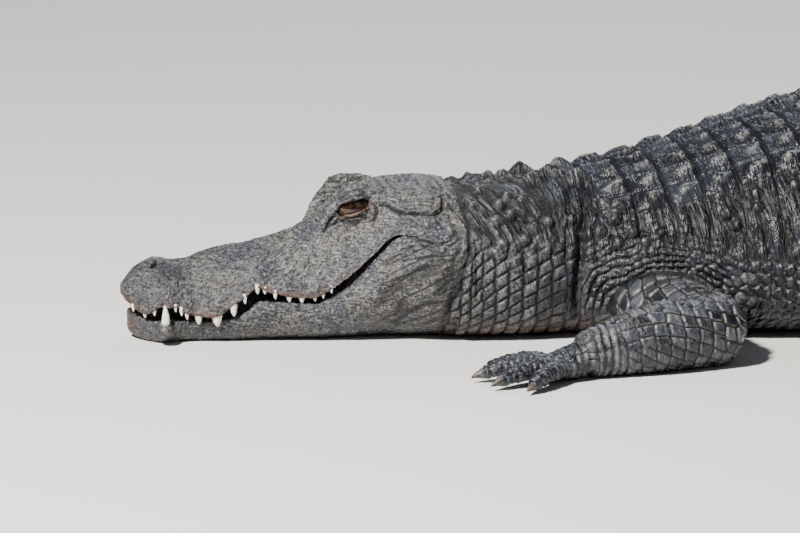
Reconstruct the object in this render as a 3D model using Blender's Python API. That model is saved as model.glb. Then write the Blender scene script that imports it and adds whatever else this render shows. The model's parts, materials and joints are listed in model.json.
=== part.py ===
"""American alligator, adult, life size: a still model lying flat with its chin, belly, tail and feet on the floor.

Metres, +Z up, floor at z = 0. The head points along -X and the animal's left side faces -Y.
The origin is on the floor under the middle of the belly.
A place on the animal is told by s, the distance from the snout tip along the spine, by a
sideways distance that is positive to the left, and by a height above the floor.
"""

import math

import bmesh
import bpy
import numpy as np
from mathutils import Matrix, Vector

PARTS = "american_alligator"
CUTTERS = "cutters"

TOTAL_LENGTH = 3.30
GAP = 0.0003
FLOOR = 0.0
ORIGIN_S = 1.10

# Where the body is parted across the spine
HEAD_END = 0.455
NECK_END = 0.638
DORSAL_ROWS = 21
DORSAL_ROW = 0.0466
FRONT_ROWS = 11
TAIL_START = NECK_END + DORSAL_ROWS * DORSAL_ROW
TAIL_WHORLS = 40
WHORLS_A_LENGTH = 10
LAST_WHORL_SHARE = 0.76

# Heading of the spine in degrees, walking from the snout to the tail tip; positive turns to the right side
HEADING = [(0.0, -3.0), (0.42, -3.0), (0.64, 0.0), (1.50, 0.0), (2.05, -17.0), (2.55, -24.0), (3.00, -6.0),
           (TOTAL_LENGTH, 6.0)]

# Head: heights and half widths against s
SNOUT_ROUND = 0.046
SNOUT_TIP_HEIGHT = 0.066
SKULL_TOP = [(0.0, 0.096), (0.030, 0.103), (0.050, 0.106), (0.075, 0.104), (0.095, 0.107), (0.113, 0.1135),
             (0.130, 0.118), (0.151, 0.121), (0.189, 0.127), (0.224, 0.136), (0.260, 0.150), (0.284, 0.167),
             (0.312, 0.188), (0.345, 0.200), (0.420, 0.204), (HEAD_END, 0.199)]
UPPER_LIP = [(0.0, 0.040), (0.028, 0.0395), (0.049, 0.051), (0.068, 0.050), (0.086, 0.041), (0.110, 0.038),
             (0.125, 0.040), (0.144, 0.052), (0.160, 0.063), (0.179, 0.077), (0.196, 0.070), (0.224, 0.065),
             (0.248, 0.063), (0.266, 0.068), (0.295, 0.087), (0.312, 0.101), (0.338, 0.129), (0.353, 0.144),
             (0.367, 0.151), (0.398, 0.1495), (0.422, 0.1435), (HEAD_END, 0.138)]
LIP_HALF = [(0.0, 0.052), (0.030, 0.058), (0.060, 0.066), (0.092, 0.067), (0.125, 0.075), (0.170, 0.081),
            (0.220, 0.086), (0.270, 0.093), (0.310, 0.103), (0.360, 0.119), (0.410, 0.133), (HEAD_END, 0.139)]
CROWN_HALF = [(0.0, 0.040), (0.053, 0.050), (0.092, 0.049), (0.140, 0.058), (0.220, 0.064), (0.270, 0.068),
              (0.312, 0.080), (0.345, 0.078), (0.430, 0.088), (HEAD_END, 0.110)]
CROWN_POWER = [(0.0, 2.2), (0.10, 2.5), (0.25, 2.7), (0.312, 3.2), (0.36, 4.6), (0.42, 4.6), (HEAD_END, 2.8)]
FLARE_POWER = [(0.0, 1.0), (0.25, 1.2), (0.33, 2.0), (0.43, 2.2), (HEAD_END, 1.4)]
PALATE_ARCH = 0.005

# Lower jaw: the height of its lip, and how far it lies inside the upper lip
JAW_TIP_S = 0.010
JAW_ROUND = 0.045
LOWER_LIP = [(0.0, 0.036), (0.020, 0.035), (0.040, 0.031), (0.120, 0.030), (0.145, 0.033), (0.164, 0.043),
             (0.184, 0.057), (0.206, 0.057), (0.240, 0.055), (0.255, 0.054), (0.273, 0.060), (0.293, 0.071),
             (0.307, 0.083), (0.325, 0.103), (0.340, 0.1215), (0.353, 0.1375), (0.364, 0.1468), (0.376, 0.1493),
             (0.398, 0.1489), (0.422, 0.1430), (HEAD_END, 0.1376)]
JAW_INSET = [(0.0, 0.007), (0.036, 0.005), (0.0535, 0.001), (0.076, 0.009), (0.130, 0.014), (0.165, 0.010),
             (0.190, 0.006), (0.240, 0.004), (0.300, 0.002), (0.360, 0.0005), (0.425, 0.0), (HEAD_END, 0.0)]
JAW_POWER = 2.6
JOWL_BULGE = 0.8
JOWL = [(0.0, 0.0), (0.22, 0.03), (0.30, 0.08), (0.40, 0.16), (HEAD_END, 0.12)]
JAW_KEEL_DEPTH = 0.006

# Body behind the head
BODY_TOP = [(HEAD_END, 0.199), (0.50, 0.202), (0.56, 0.206), (0.62, 0.209), (0.70, 0.220), (0.80, 0.243),
            (0.90, 0.271), (1.00, 0.295), (1.12, 0.307), (1.25, 0.301), (1.38, 0.280), (1.50, 0.250),
            (1.62, 0.224), (1.78, 0.203), (2.00, 0.178), (2.30, 0.146), (2.60, 0.116), (2.90, 0.083),
            (3.15, 0.050), (TOTAL_LENGTH, 0.014)]
BODY_HALF = [(HEAD_END, 0.139), (0.50, 0.146), (0.56, 0.148), (0.605, 0.143), (0.66, 0.158), (0.74, 0.182),
             (0.84, 0.214), (0.94, 0.243), (1.06, 0.263), (1.20, 0.264), (1.34, 0.240), (1.48, 0.196),
             (1.60, 0.150), (1.74, 0.118), (1.95, 0.093), (2.25, 0.069), (2.60, 0.045), (2.90, 0.029),
             (3.15, 0.016), (TOTAL_LENGTH, 0.005)]
WAIST_SHARE = [(HEAD_END, 0.46), (0.60, 0.42), (0.90, 0.38), (1.20, 0.36), (1.60, 0.40), (2.20, 0.42),
               (TOTAL_LENGTH, 0.45)]
BACK_POWER = [(HEAD_END, 2.7), (0.55, 2.4), (0.90, 2.3), (1.40, 2.25), (1.70, 2.1), (2.40, 1.8),
              (TOTAL_LENGTH, 1.8)]
BELLY_POWER = [(HEAD_END, 3.0), (0.90, 3.2), (1.50, 3.0), (1.90, 2.6), (TOTAL_LENGTH, 2.2)]
BELLY_SINK = 0.004

# Dorsal scutes: three wide on each side, from a seam forward to a raised keel behind
SCUTES_A_SIDE = 4
SCUTE_WIDTH = [(0.62, 0.034), (0.80, 0.041), (1.10, 0.046), (1.35, 0.042), (1.62, 0.026)]
KEEL_HEIGHTS = (0.011, 0.010, 0.011, 0.014)
SCUTE_EDGE_SHARE = 0.25
SCUTE_RISE = ((0.0, 0.0), (0.18, 0.55), (0.82, 1.0))
SCUTE_VARIATION = (0.82, 1.18)
FLANK_KNOB = 0.005
FLANK_COLUMNS = 4
BELLY_COLUMNS = 1

# Tail: two crests that draw together, then one
CREST_ARC = [(TAIL_START, 0.078), (1.90, 0.052), (2.20, 0.028), (2.42, 0.011), (TOTAL_LENGTH, 0.011)]
CREST_HEIGHT = [(TAIL_START, 0.016), (1.85, 0.022), (2.30, 0.030), (2.60, 0.032), (2.95, 0.024),
                (TOTAL_LENGTH, 0.006)]
CREST_HALF_THICK = 0.007
CREST_THIN_SHARE = 0.08
CREST_SPREAD = 0.35
CREST_FOOT = 0.10
CREST_RISE = ((0.0, CREST_FOOT), (0.84, 1.0))
CREST_LEAN = 0.30
WHORL_RAISE = 0.0018
TAIL_TIP_SHORT = 0.004

# Neck: two pairs of great nuchal plates, small pairs before them, and knobs down each side
NUCHAL_PLATES = ((0.505, 0.030, 0.014, 0.013, 0.010), (0.533, 0.030, 0.014, 0.015, 0.013),
                 (0.571, 0.028, 0.020, 0.020, 0.018), (0.621, 0.034, 0.019, 0.026, 0.022))
NECK_KNOBS = ((0.480, 0.085), (0.500, 0.110), (0.518, 0.130), (0.492, 0.140), (0.548, 0.150), (0.536, 0.175),
              (0.572, 0.150), (0.596, 0.135), (0.615, 0.120), (0.600, 0.170), (0.505, 0.185), (0.540, 0.205))
NECK_KNOB_REACH = 0.0145
NECK_KNOB_HEIGHT = 0.007
NECK_FOLDS = ((0.474, 0.007, 0.006), (0.626, 0.010, 0.010))
NECK_FOLD_ARC = (0.07, 0.10)
NECK_END_BLEND = 0.006
NECK_STATIONS = 16
NECK_FINE_ARC = 0.24
NECK_FINE_COLUMNS = 20
NECK_COARSE_COLUMNS = 5

# Eye and its lids, ear slit and nostril
EYE_S = 0.314
EYE_SIDE = 0.0565
EYE_HEIGHT = 0.1795
EYE_RADIUS = 0.0212
LID_RADIUS = 0.0252
EYE_LOOK = (-0.16, 0.95, 0.26)
EYE_OPENING = (0.0325, 0.0084, 0.028)
EYE_OPENING_FORWARD = 0.004
EYE_OPENING_TILT = 15.0
SOCKET_PLAY = 0.0002
BROW = (0.322, 0.052, 0.032, 0.018, 0.014)
NASAL_MOUND = (0.050, 0.0, 0.028, 0.026, 0.003)
NOSTRIL = (0.046, 0.0185, 0.0100, 0.0048, 0.009)
NOSTRIL_TURN = 40.0
EAR_SLIT = ((0.342, 0.190), (0.358, 0.187), (0.373, 0.179), (0.393, 0.175), (0.420, 0.173), (0.433, 0.179),
            (0.436, 0.190))
EAR_SLIT_RADIUS = 0.0024
EAR_SLIT_SHARES = (0.4, 0.8, 1.0, 1.0, 1.1, 1.0, 0.6)
EAR_SLIT_SIDES = 5

# Teeth: s, length and width; the upper ones hang outside the lower jaw
UPPER_TEETH = ((0.014, 0.006, 0.005), (0.028, 0.007, 0.006), (0.040, 0.008, 0.006), (0.068, 0.006, 0.005),
               (0.076, 0.008, 0.0055), (0.0835, 0.009, 0.006), (0.0995, 0.013, 0.0105), (0.124, 0.017, 0.0150),
               (0.146, 0.016, 0.011), (0.161, 0.009, 0.006), (0.178, 0.009, 0.007), (0.188, 0.006, 0.006),
               (0.202, 0.008, 0.0065), (0.221, 0.0115, 0.009), (0.238, 0.010, 0.009), (0.2555, 0.007, 0.007),
               (0.2665, 0.007, 0.006), (0.2775, 0.006, 0.005))
LOWER_FANG = (0.0535, 0.0255, 0.0125)
FANG_OUTSET = 0.0048
FANG_SHARES = (0.40, 0.50, 0.36, 0.10)
TOOTH_SIDES = 5
TOOTH_SHAPE = ((0.0, 0.92), (0.62, 0.86), (1.0, 0.26))
TOOTH_LEAN = 0.06
TOOTH_ROOT = 0.005
TOOTH_INSET = 0.0045

# Limbs: joints as (s, sideways, height), and half thickness across and up at each joint
FRONT_LEFT = {
    "upper_arm": (((0.712, 0.105, 0.054), (0.724, 0.215, 0.047), (0.748, 0.300, 0.046)),
                  ((0.068, 0.048), (0.062, 0.045), (0.049, 0.045))),
    "forearm": (((0.750, 0.312, 0.046), (0.668, 0.335, 0.046), (0.568, 0.352, 0.032)),
                ((0.046, 0.046), (0.043, 0.046), (0.029, 0.031))),
    "hand": (0.560, 0.353, 0.026, 178.0),
}
FRONT_RIGHT = {
    "upper_arm": (((0.712, 0.105, 0.054), (0.718, 0.215, 0.047), (0.734, 0.298, 0.046)),
                  ((0.068, 0.048), (0.062, 0.045), (0.049, 0.045))),
    "forearm": (((0.736, 0.308, 0.046), (0.658, 0.345, 0.046), (0.563, 0.385, 0.032)),
                ((0.046, 0.046), (0.043, 0.046), (0.029, 0.031))),
    "hand": (0.555, 0.388, 0.026, 162.0),
}
HIND_LEFT = {
    "thigh": (((1.505, 0.075, 0.135), (1.445, 0.190, 0.110), (1.375, 0.275, 0.078)),
              ((0.078, 0.084), (0.072, 0.070), (0.054, 0.056))),
    "shank": (((1.372, 0.285, 0.064), (1.440, 0.325, 0.058), (1.525, 0.365, 0.036)),
              ((0.050, 0.054), (0.048, 0.052), (0.030, 0.034))),
    "foot": (1.530, 0.372, 0.030, 146.0),
}
HIND_RIGHT = {
    "thigh": (((1.505, 0.075, 0.135), (1.455, 0.195, 0.110), (1.392, 0.282, 0.078)),
              ((0.078, 0.084), (0.072, 0.070), (0.054, 0.056))),
    "shank": (((1.389, 0.292, 0.064), (1.468, 0.318, 0.058), (1.560, 0.352, 0.036)),
              ((0.050, 0.054), (0.048, 0.052), (0.030, 0.034))),
    "foot": (1.566, 0.358, 0.030, 152.0),
}
# Toes as (spread in degrees, length, half thickness, claw length); the first is the inner one
HAND_TOES = ((-44.0, 0.076, 0.0115, 0.020), (-20.0, 0.096, 0.0125, 0.022), (2.0, 0.102, 0.0125, 0.022),
             (26.0, 0.088, 0.0110, 0.0), (55.0, 0.070, 0.0100, 0.0))
HAND_PALM = (0.060, 0.034, 0.022)
FOOT_TOES = ((-24.0, 0.112, 0.0140, 0.026), (-8.0, 0.134, 0.0145, 0.028), (8.0, 0.138, 0.0140, 0.026),
             (25.0, 0.118, 0.0120, 0.0))
FOOT_SOLE = (0.112, 0.040, 0.026)
PALM_WIDTHS = (0.45, 0.85, 0.98, 1.06, 1.04, 0.70)
PALM_HEIGHTS = (0.45, 1.0, 0.98, 0.84, 0.68, 0.40)
LIMB_SIDES = 10
LIMB_STATIONS = 7
LIMB_END_REACH = 0.62
LIMB_END_SHARES = (0.45, 0.86)
TOE_SIDES = 5
CLAW_SIDES = 5
CUTTER_GROWTH = GAP * 1.4

SUFFIX = {1: "left", -1: "right"}

HIDE_DARK = (0.085, 0.085, 0.090)
HIDE_HEAD = (0.200, 0.195, 0.185)
HIDE_LIMB = (0.095, 0.098, 0.105)
TOOTH_IVORY = (0.80, 0.78, 0.68)
EYE_AMBER = (0.16, 0.06, 0.025)


def hermite(table, s):
    """A smooth curve through (place, value) pairs: cubic pieces whose slopes never overshoot."""
    x, y = np.array(table, float).T
    s = np.clip(np.asarray(s, float), x[0], x[-1])
    step, rise = np.diff(x), np.diff(y)
    secant = rise / step
    slope = np.zeros_like(y)
    same_way = secant[:-1] * secant[1:] > 0
    weighted = (step[1:] + step[:-1]) * 1.5
    inner = weighted / ((step[1:] * 0.5 + step[:-1]) / np.where(same_way, secant[:-1], 1)
                        + (step[1:] + step[:-1] * 0.5) / np.where(same_way, secant[1:], 1))
    slope[1:-1] = np.where(same_way, inner, 0)
    slope[0], slope[-1] = secant[0], secant[-1]
    i = np.clip(np.searchsorted(x, s, side="right") - 1, 0, len(step) - 1)
    t = (s - x[i]) / step[i]
    a = 2 * t**3 - 3 * t**2 + 1
    b = t**3 - 2 * t**2 + t
    c = -2 * t**3 + 3 * t**2
    d = t**3 - t**2
    return a * y[i] + b * step[i] * slope[i] + c * y[i + 1] + d * step[i] * slope[i + 1]


SPINE_S = np.linspace(0.0, TOTAL_LENGTH, 661)


def spine_path():
    """The spine on the floor plane: the heading added up step by step from the snout tip."""
    turn = np.radians(hermite(HEADING, SPINE_S))
    step = SPINE_S[1] - SPINE_S[0]
    along = np.concatenate([[0.0], np.cumsum((np.cos(turn[1:]) + np.cos(turn[:-1])) / 2 * step)])
    across = np.concatenate([[0.0], np.cumsum((np.sin(turn[1:]) + np.sin(turn[:-1])) / 2 * step)])
    middle = [np.interp(ORIGIN_S, SPINE_S, v) for v in (along, across)]
    return along - middle[0], across - middle[1], turn


SPINE_X, SPINE_Y, SPINE_TURN = spine_path()


def place(s, side, height):
    """World points of places on the animal; side is positive to its left, which faces -Y."""
    x, y, turn = (np.interp(s, SPINE_S, v) for v in (SPINE_X, SPINE_Y, SPINE_TURN))
    return np.stack(np.broadcast_arrays(x + np.sin(turn) * side, y - np.cos(turn) * side, height), -1)


def snout_round(s, reach):
    """Quarter-circle growth from 0 at the tip to 1 a reach behind it."""
    return np.sqrt(1 - (1 - np.clip(s / reach, 0, 1)) ** 2)


def mouth_height(s):
    grown = snout_round(s, SNOUT_ROUND)
    return SNOUT_TIP_HEIGHT + (hermite(UPPER_LIP, s) - SNOUT_TIP_HEIGHT) * grown


def lip_half(s):
    return hermite(LIP_HALF, s) * snout_round(s, SNOUT_ROUND)


SECTION_POINTS = 160


def head_outline(s):
    """Half section of the upper head, from the top of the crown out and down to the lip."""
    turn = np.linspace(math.pi / 2, 0, SECTION_POINTS)
    grown = snout_round(s, SNOUT_ROUND)
    low, power = mouth_height(s), hermite(CROWN_POWER, s)
    top = SNOUT_TIP_HEIGHT + (hermite(SKULL_TOP, s) - SNOUT_TIP_HEIGHT) * grown
    crown, lip = hermite(CROWN_HALF, s) * grown, lip_half(s)
    share = np.sin(turn) ** (2 / power)
    half = crown + (lip - crown) * (1 - share) ** hermite(FLARE_POWER, s)
    return np.abs(np.cos(turn)) ** (2 / power) * half, low + (top - low) * share


def jaw_outline(s):
    """Half section of the lower jaw, from its lip out and down to the chin line."""
    turn = np.linspace(0, math.pi / 2, SECTION_POINTS)
    grown = snout_round(s - JAW_TIP_S, JAW_ROUND)
    high = hermite(LOWER_LIP, s)
    half = (hermite(LIP_HALF, s) - hermite(JAW_INSET, s)) * grown
    depth = high + JAW_KEEL_DEPTH
    share = np.sin(turn) ** (2 / JAW_POWER)
    bulge = 1 + hermite(JOWL, s) * np.sin(math.pi * np.clip(share, 0, 1)) * JOWL_BULGE
    return np.cos(turn) ** (2 / JAW_POWER) * half * bulge, high - depth * share * (0.5 + 0.5 * grown)


def body_outline(s):
    """Half section of neck, trunk or tail, from the back out and down to the belly, cut flat at the floor."""
    top, half = hermite(BODY_TOP, s), hermite(BODY_HALF, s)
    waist = top * hermite(WAIST_SHARE, s)
    back, belly = 2 / hermite(BACK_POWER, s), 2 / hermite(BELLY_POWER, s)
    upper = np.linspace(math.pi / 2, 0, SECTION_POINTS)
    lower = upper[::-1][1:]
    side = np.concatenate([np.cos(upper) ** back, np.cos(lower) ** belly]) * half
    height = np.concatenate([waist + (top - waist) * np.sin(upper) ** back,
                             waist - (waist + BELLY_SINK) * np.sin(lower) ** belly])
    side[0] = side[-1] = 0.0
    return side, height


def at_arcs(outline, arcs):
    """Points and outward normals of a half section at distances along it from its first point."""
    side, height = outline
    run = np.concatenate([[0.0], np.cumsum(np.hypot(np.diff(side), np.diff(height)))])
    arcs = np.minimum(arcs, run[-1])
    y, z = np.interp(arcs, run, side), np.interp(arcs, run, height)
    reach = max(run[-1] * 0.01, 1e-5)
    dy = np.interp(arcs + reach, run, side) - np.interp(arcs - reach, run, side)
    dz = np.interp(arcs + reach, run, height) - np.interp(arcs - reach, run, height)
    length = np.maximum(np.hypot(dy, dz), 1e-9)
    normal = np.stack([-dz / length, dy / length], -1)
    normal[arcs <= 0] = (0.0, 1.0)
    return y, z, normal


def outline_length(outline):
    return float(np.hypot(np.diff(outline[0]), np.diff(outline[1])).sum())


def bump(s, side, middle_s, middle_side, reach_s, reach_side, height):
    """A rounded knob: a cosine bell that ends at its reach."""
    far = np.sqrt(((s - middle_s) / reach_s) ** 2 + ((side - middle_side) / reach_side) ** 2)
    return height * np.where(far < 1, 0.5 + 0.5 * np.cos(math.pi * np.clip(far, 0, 1)), 0.0)


def group(name):
    """The collection of that name, made and linked to the scene the first time."""
    found = bpy.data.collections.get(name)
    if found is None:
        found = bpy.data.collections.new(name)
        bpy.context.scene.collection.children.link(found)
    return found


def mesh_object(name, rings, colour, roughness=0.6):
    """A closed loft through rings of equal count, each end closed by a fan round its middle."""
    rings = np.asarray(rings, float)
    count, around = rings.shape[:2]
    mesh = bmesh.new()
    points = [[mesh.verts.new(p) for p in ring] for ring in rings]
    for i in range(count - 1):
        for j in range(around):
            k = (j + 1) % around
            mesh.faces.new((points[i][j], points[i][k], points[i + 1][k], points[i + 1][j]))
    for ring in (points[0], points[-1]):
        middle = mesh.verts.new(sum((v.co for v in ring), Vector()) / around)
        for j in range(around):
            mesh.faces.new((middle, ring[j], ring[(j + 1) % around]))
    bmesh.ops.remove_doubles(mesh, verts=mesh.verts, dist=1e-5)
    bmesh.ops.dissolve_degenerate(mesh, edges=mesh.edges, dist=1e-6)
    bmesh.ops.triangulate(mesh, faces=mesh.faces)
    bmesh.ops.recalc_face_normals(mesh, faces=mesh.faces)
    return finished(name, mesh, colour, roughness)


def material(name, colour, roughness, metallic=0.0):
    made = bpy.data.materials.new(name)
    made.use_nodes = True
    shader = made.node_tree.nodes["Principled BSDF"]
    shader.inputs["Base Color"].default_value = (*colour, 1.0)
    shader.inputs["Roughness"].default_value = roughness
    shader.inputs["Metallic"].default_value = metallic
    return made


def finished(name, mesh, colour, roughness):
    data = bpy.data.meshes.new(name)
    mesh.to_mesh(data)
    mesh.free()
    data.materials.append(material(f"{name}_finish", colour, roughness))
    data.shade_smooth()
    data.set_sharp_from_angle(angle=math.radians(45))
    made = bpy.data.objects.new(name, data)
    group(PARTS).objects.link(made)
    return made


def largest_surface(target):
    """Keeps only the closed surface with the most volume."""
    mesh = bmesh.new()
    mesh.from_mesh(target.data)
    left, islands = set(mesh.faces), []
    while left:
        found, edge = set(), [next(iter(left))]
        while edge:
            face = edge.pop()
            if face in found:
                continue
            found.add(face)
            edge.extend(f for e in face.edges for f in e.link_faces if f not in found)
        left -= found
        islands.append(found)
    if len(islands) > 1:
        sizes = [sum(f.calc_area() for f in island) for island in islands]
        keep = islands[int(np.argmax(sizes))]
        bmesh.ops.delete(mesh, geom=[f for f in mesh.faces if f not in keep], context="FACES")
    mesh.to_mesh(target.data)
    mesh.free()


def applied(target):
    """Replaces the target's mesh with its evaluated one and keeps the largest closed surface of it."""
    graph = bpy.context.evaluated_depsgraph_get()
    data = bpy.data.meshes.new_from_object(target.evaluated_get(graph))
    target.modifiers.clear()
    target.data = data
    largest_surface(target)


def boolean(target, other, operation):
    step = target.modifiers.new(other.name, "BOOLEAN")
    step.operation, step.object, step.solver = operation, other, "EXACT"


def join(target, others):
    """Grows the target together with other closed forms, which are then removed."""
    holder = bpy.data.collections.new(f"{target.name}_joined")
    bpy.context.scene.collection.children.link(holder)
    for other in others:
        group(PARTS).objects.unlink(other)
        holder.objects.link(other)
    step = target.modifiers.new("join", "BOOLEAN")
    step.operation, step.operand_type, step.collection, step.solver = "UNION", "COLLECTION", holder, "EXACT"
    applied(target)
    for other in others:
        bpy.data.objects.remove(other)
    bpy.data.collections.remove(holder)


def cut(target, cutters):
    """Cuts the target with each cutter in turn; the cutters stay in their own collection, out of the render."""
    for cutter in cutters:
        if cutter.name not in group(CUTTERS).objects:
            group(PARTS).objects.unlink(cutter)
            group(CUTTERS).objects.link(cutter)
            cutter.hide_render = True
            cutter.display_type = "WIRE"
        boolean(target, cutter, "DIFFERENCE")
        applied(target)


def mirrored_ring(s, side, height):
    """World ring from half-section places: down the left side, then up the right one."""
    left = place(s, side, height)
    right = place(s, -side[-2:0:-1], height[-2:0:-1])
    return np.concatenate([left, right])


def head_relief(s, side):
    """What stands proud of the plain crown: the brows over the eyes and the mound round the nostrils."""
    return bump(s, np.abs(side), *BROW) + bump(s, side, *NASAL_MOUND)


# Stations that head and lower jaw share where the mouth closes, so that their facets keep the gap
CLOSED_MOUTH_STATIONS = [0.344, 0.355, 0.374, 0.396, 0.418, 0.436, HEAD_END - GAP / 2]
HEAD_STATIONS = np.concatenate([[0.0008, 0.004, 0.011, 0.021, 0.034, 0.046, 0.058, 0.072, 0.088, 0.106, 0.124],
                                np.arange(0.142, 0.29, 0.018), np.arange(0.300, 0.34, 0.011),
                                CLOSED_MOUTH_STATIONS])
HEAD_HALF_COLUMNS = 10
PALATE_COLUMNS = 2


def head_shell():
    rings = []
    for s in HEAD_STATIONS:
        outline = head_outline(s)
        arcs = np.linspace(0, outline_length(outline), HEAD_HALF_COLUMNS)
        y, z, normal = at_arcs(outline, arcs)
        lift = head_relief(s, y)
        lift[-1] = 0.0
        y, z = y + normal[:, 0] * lift, z + normal[:, 1] * lift
        y[0] = 0.0
        share = np.linspace(1, 0, PALATE_COLUMNS + 1)[1:]
        grown = snout_round(s, SNOUT_ROUND)
        y = np.concatenate([y, y[-1] * share])
        z = np.concatenate([z, z[-1] + PALATE_ARCH * grown * (1 - share**2)])
        rings.append(mirrored_ring(s, y, z))
    return mesh_object("head", rings, HIDE_HEAD)


def turned(direction, up=(0, 0, 1)):
    """Rotation whose local z axis looks along a direction and whose x axis lies level."""
    z = Vector(direction).normalized()
    x = Vector(up).cross(z).normalized()
    return Matrix((x, z.cross(x), z)).transposed()


def head_direction(local):
    """World direction from (backward, left, up) in the head's own frame."""
    turn = math.radians(HEADING[0][1])
    back, left, up = local
    return Vector((back * math.cos(turn) + left * math.sin(turn), back * math.sin(turn) - left * math.cos(turn), up))


def ball(name, middle, radius, scale=(1, 1, 1), rotation=None, rounds=(16, 10)):
    mesh = bmesh.new()
    bmesh.ops.create_uvsphere(mesh, u_segments=rounds[0], v_segments=rounds[1], radius=radius)
    matrix = Matrix.Translation(middle)
    if rotation:
        matrix = matrix @ rotation.to_4x4()
    mesh.transform(matrix @ Matrix.Diagonal((*scale, 1)))
    return finished(name, mesh, EYE_AMBER, 0.1)


def eye_place(hand):
    return Vector(place(EYE_S, hand * EYE_SIDE, EYE_HEIGHT))


def eye_opening(hand):
    """The almond between the lids, an ellipsoid that pokes out along the eye's look, its rear corner higher."""
    look = head_direction((EYE_LOOK[0], hand * EYE_LOOK[1], EYE_LOOK[2])).normalized()
    tilt = math.radians(EYE_OPENING_TILT)
    along = head_direction((math.cos(tilt), 0, math.sin(tilt)))
    across = look.cross(along).normalized()
    along = across.cross(look).normalized()
    frame = Matrix((along, across, look)).transposed()
    middle = eye_place(hand) + look * LID_RADIUS - along * EYE_OPENING_FORWARD
    return ball(f"lid_opening_{SUFFIX[hand]}", middle, 1.0, EYE_OPENING, frame, rounds=(14, 8))


def rod(name, path, radius, sides):
    """A round tube with closed ends along a path of world points."""
    path = [Vector(p) for p in path]
    rings = []
    for i, point in enumerate(path):
        ahead = (path[min(i + 1, len(path) - 1)] - path[max(i - 1, 0)]).normalized()
        frame = turned(ahead)
        turn = np.arange(sides) * 2 * math.pi / sides
        thick = radius[i] if hasattr(radius, "__len__") else radius
        rings.append([point + frame @ Vector((thick * math.cos(t), thick * math.sin(t), 0)) for t in turn])
    return mesh_object(name, rings, HIDE_DARK)


def surface_side(s, height):
    """How far out the upper head's wall lies at a height."""
    side, z = head_outline(s)
    return float(np.interp(-height, -z, side))


def ear_cutter(hand):
    path = [place(s, hand * (surface_side(s, z) + 0.0005), z) for s, z in EAR_SLIT]
    return rod(f"ear_slit_{SUFFIX[hand]}", path, [EAR_SLIT_RADIUS * f for f in EAR_SLIT_SHARES], EAR_SLIT_SIDES)


def nostril_cutter(hand):
    s, side, length, width, depth = NOSTRIL
    outline = head_outline(s)
    crown = slice(0, SECTION_POINTS // 2)
    top = float(np.interp(side, outline[0][crown], outline[1][crown])) + float(head_relief(s, np.array([side]))[0])
    turn = math.radians(hand * NOSTRIL_TURN)
    along = head_direction((math.cos(turn), -math.sin(turn), 0))
    frame = Matrix((along, Vector((0, 0, 1)).cross(along), Vector((0, 0, 1)))).transposed()
    middle = Vector(place(s, hand * side, top))
    return ball(f"nostril_{SUFFIX[hand]}", middle, 1.0, (length, width, depth), frame, rounds=(10, 6))


def tooth(s, side, root, length, width):
    """A blunt cone on a sunk root that points down and leans slightly outwards."""
    foot = Vector(place(s, side, root + TOOTH_ROOT))
    reach = TOOTH_ROOT + length
    outward = Vector(place(s, side + math.copysign(TOOTH_LEAN * reach, side), root)) - Vector(place(s, side, root))
    turn = np.arange(TOOTH_SIDES) * 2 * math.pi / TOOTH_SIDES
    rings = []
    for share, thick in TOOTH_SHAPE:
        centre = foot - Vector((0, 0, reach * share)) + outward * share**2
        rings.append([centre + Vector((math.cos(t), math.sin(t), 0)) * (width / 2 * thick) for t in turn])
    return mesh_object("tooth", rings, TOOTH_IVORY)


def upper_teeth():
    """Both rows of upper teeth; where the lower jaw closes under them they stop just short of it."""
    made = []
    for hand in (1, -1):
        for s, length, width in UPPER_TEETH:
            side = hand * (lip_half(s) - TOOTH_INSET)
            root = mouth_height(s) + 0.001
            if hermite(JAW_INSET, s) < TOOTH_INSET + width / 2:
                length = min(length, root - float(hermite(LOWER_LIP, s)) - 2 * GAP)
            made.append(tooth(s, side, root, length, width))
    return made


def make_head():
    head = head_shell()
    lids = [ball(f"lid_{SUFFIX[hand]}", eye_place(hand), LID_RADIUS) for hand in (1, -1)]
    join(head, lids + upper_teeth())
    for hand in (1, -1):
        socket = ball(f"socket_{SUFFIX[hand]}", eye_place(hand), EYE_RADIUS + GAP + SOCKET_PLAY)
        cut(head, [eye_opening(hand), ear_cutter(hand), nostril_cutter(hand), socket])
        ball(f"eye_{SUFFIX[hand]}", eye_place(hand), EYE_RADIUS)


JAW_STATIONS = np.concatenate([[JAW_TIP_S + 0.0008, JAW_TIP_S + 0.004, JAW_TIP_S + 0.012, 0.032, 0.048],
                               np.arange(0.068, 0.34, 0.0235), CLOSED_MOUTH_STATIONS])
JAW_HALF_COLUMNS = 7


def make_lower_jaw():
    rings = []
    for s in JAW_STATIONS:
        outline = jaw_outline(s)
        arcs = np.linspace(0, outline_length(outline), JAW_HALF_COLUMNS)
        y, z, _ = at_arcs(outline, arcs)
        y[-1] = 0.0
        share = np.linspace(0, 1, PALATE_COLUMNS + 1)[:-1]
        y = np.concatenate([y[0] * share, y])
        z = np.concatenate([np.full(len(share), z[0]), z])
        rings.append(mirrored_ring(s, y, np.maximum(z, FLOOR)))
    jaw = mesh_object("lower_jaw", rings, HIDE_HEAD)
    s, length, width = LOWER_FANG
    fangs = []
    for hand in (1, -1):
        outline = jaw_outline(s)
        side, root = lip_half(s) + FANG_OUTSET, outline[1][0]
        path = [place(s, hand * (side - 0.004), root - TOOTH_ROOT * 2), place(s, hand * side, root + 0.003),
                place(s, hand * (side + 0.001), root + length * 0.6), place(s - 0.001, hand * side, root + length)]
        fangs.append(rod("fang", path, [width * share for share in FANG_SHARES], TOOTH_SIDES))
    join(jaw, fangs)


def neck_grid():
    stations = np.linspace(HEAD_END + GAP / 2, NECK_END - GAP / 2, NECK_STATIONS)
    fine = np.linspace(0, NECK_FINE_ARC, NECK_FINE_COLUMNS + 1)
    return stations, fine


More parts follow.
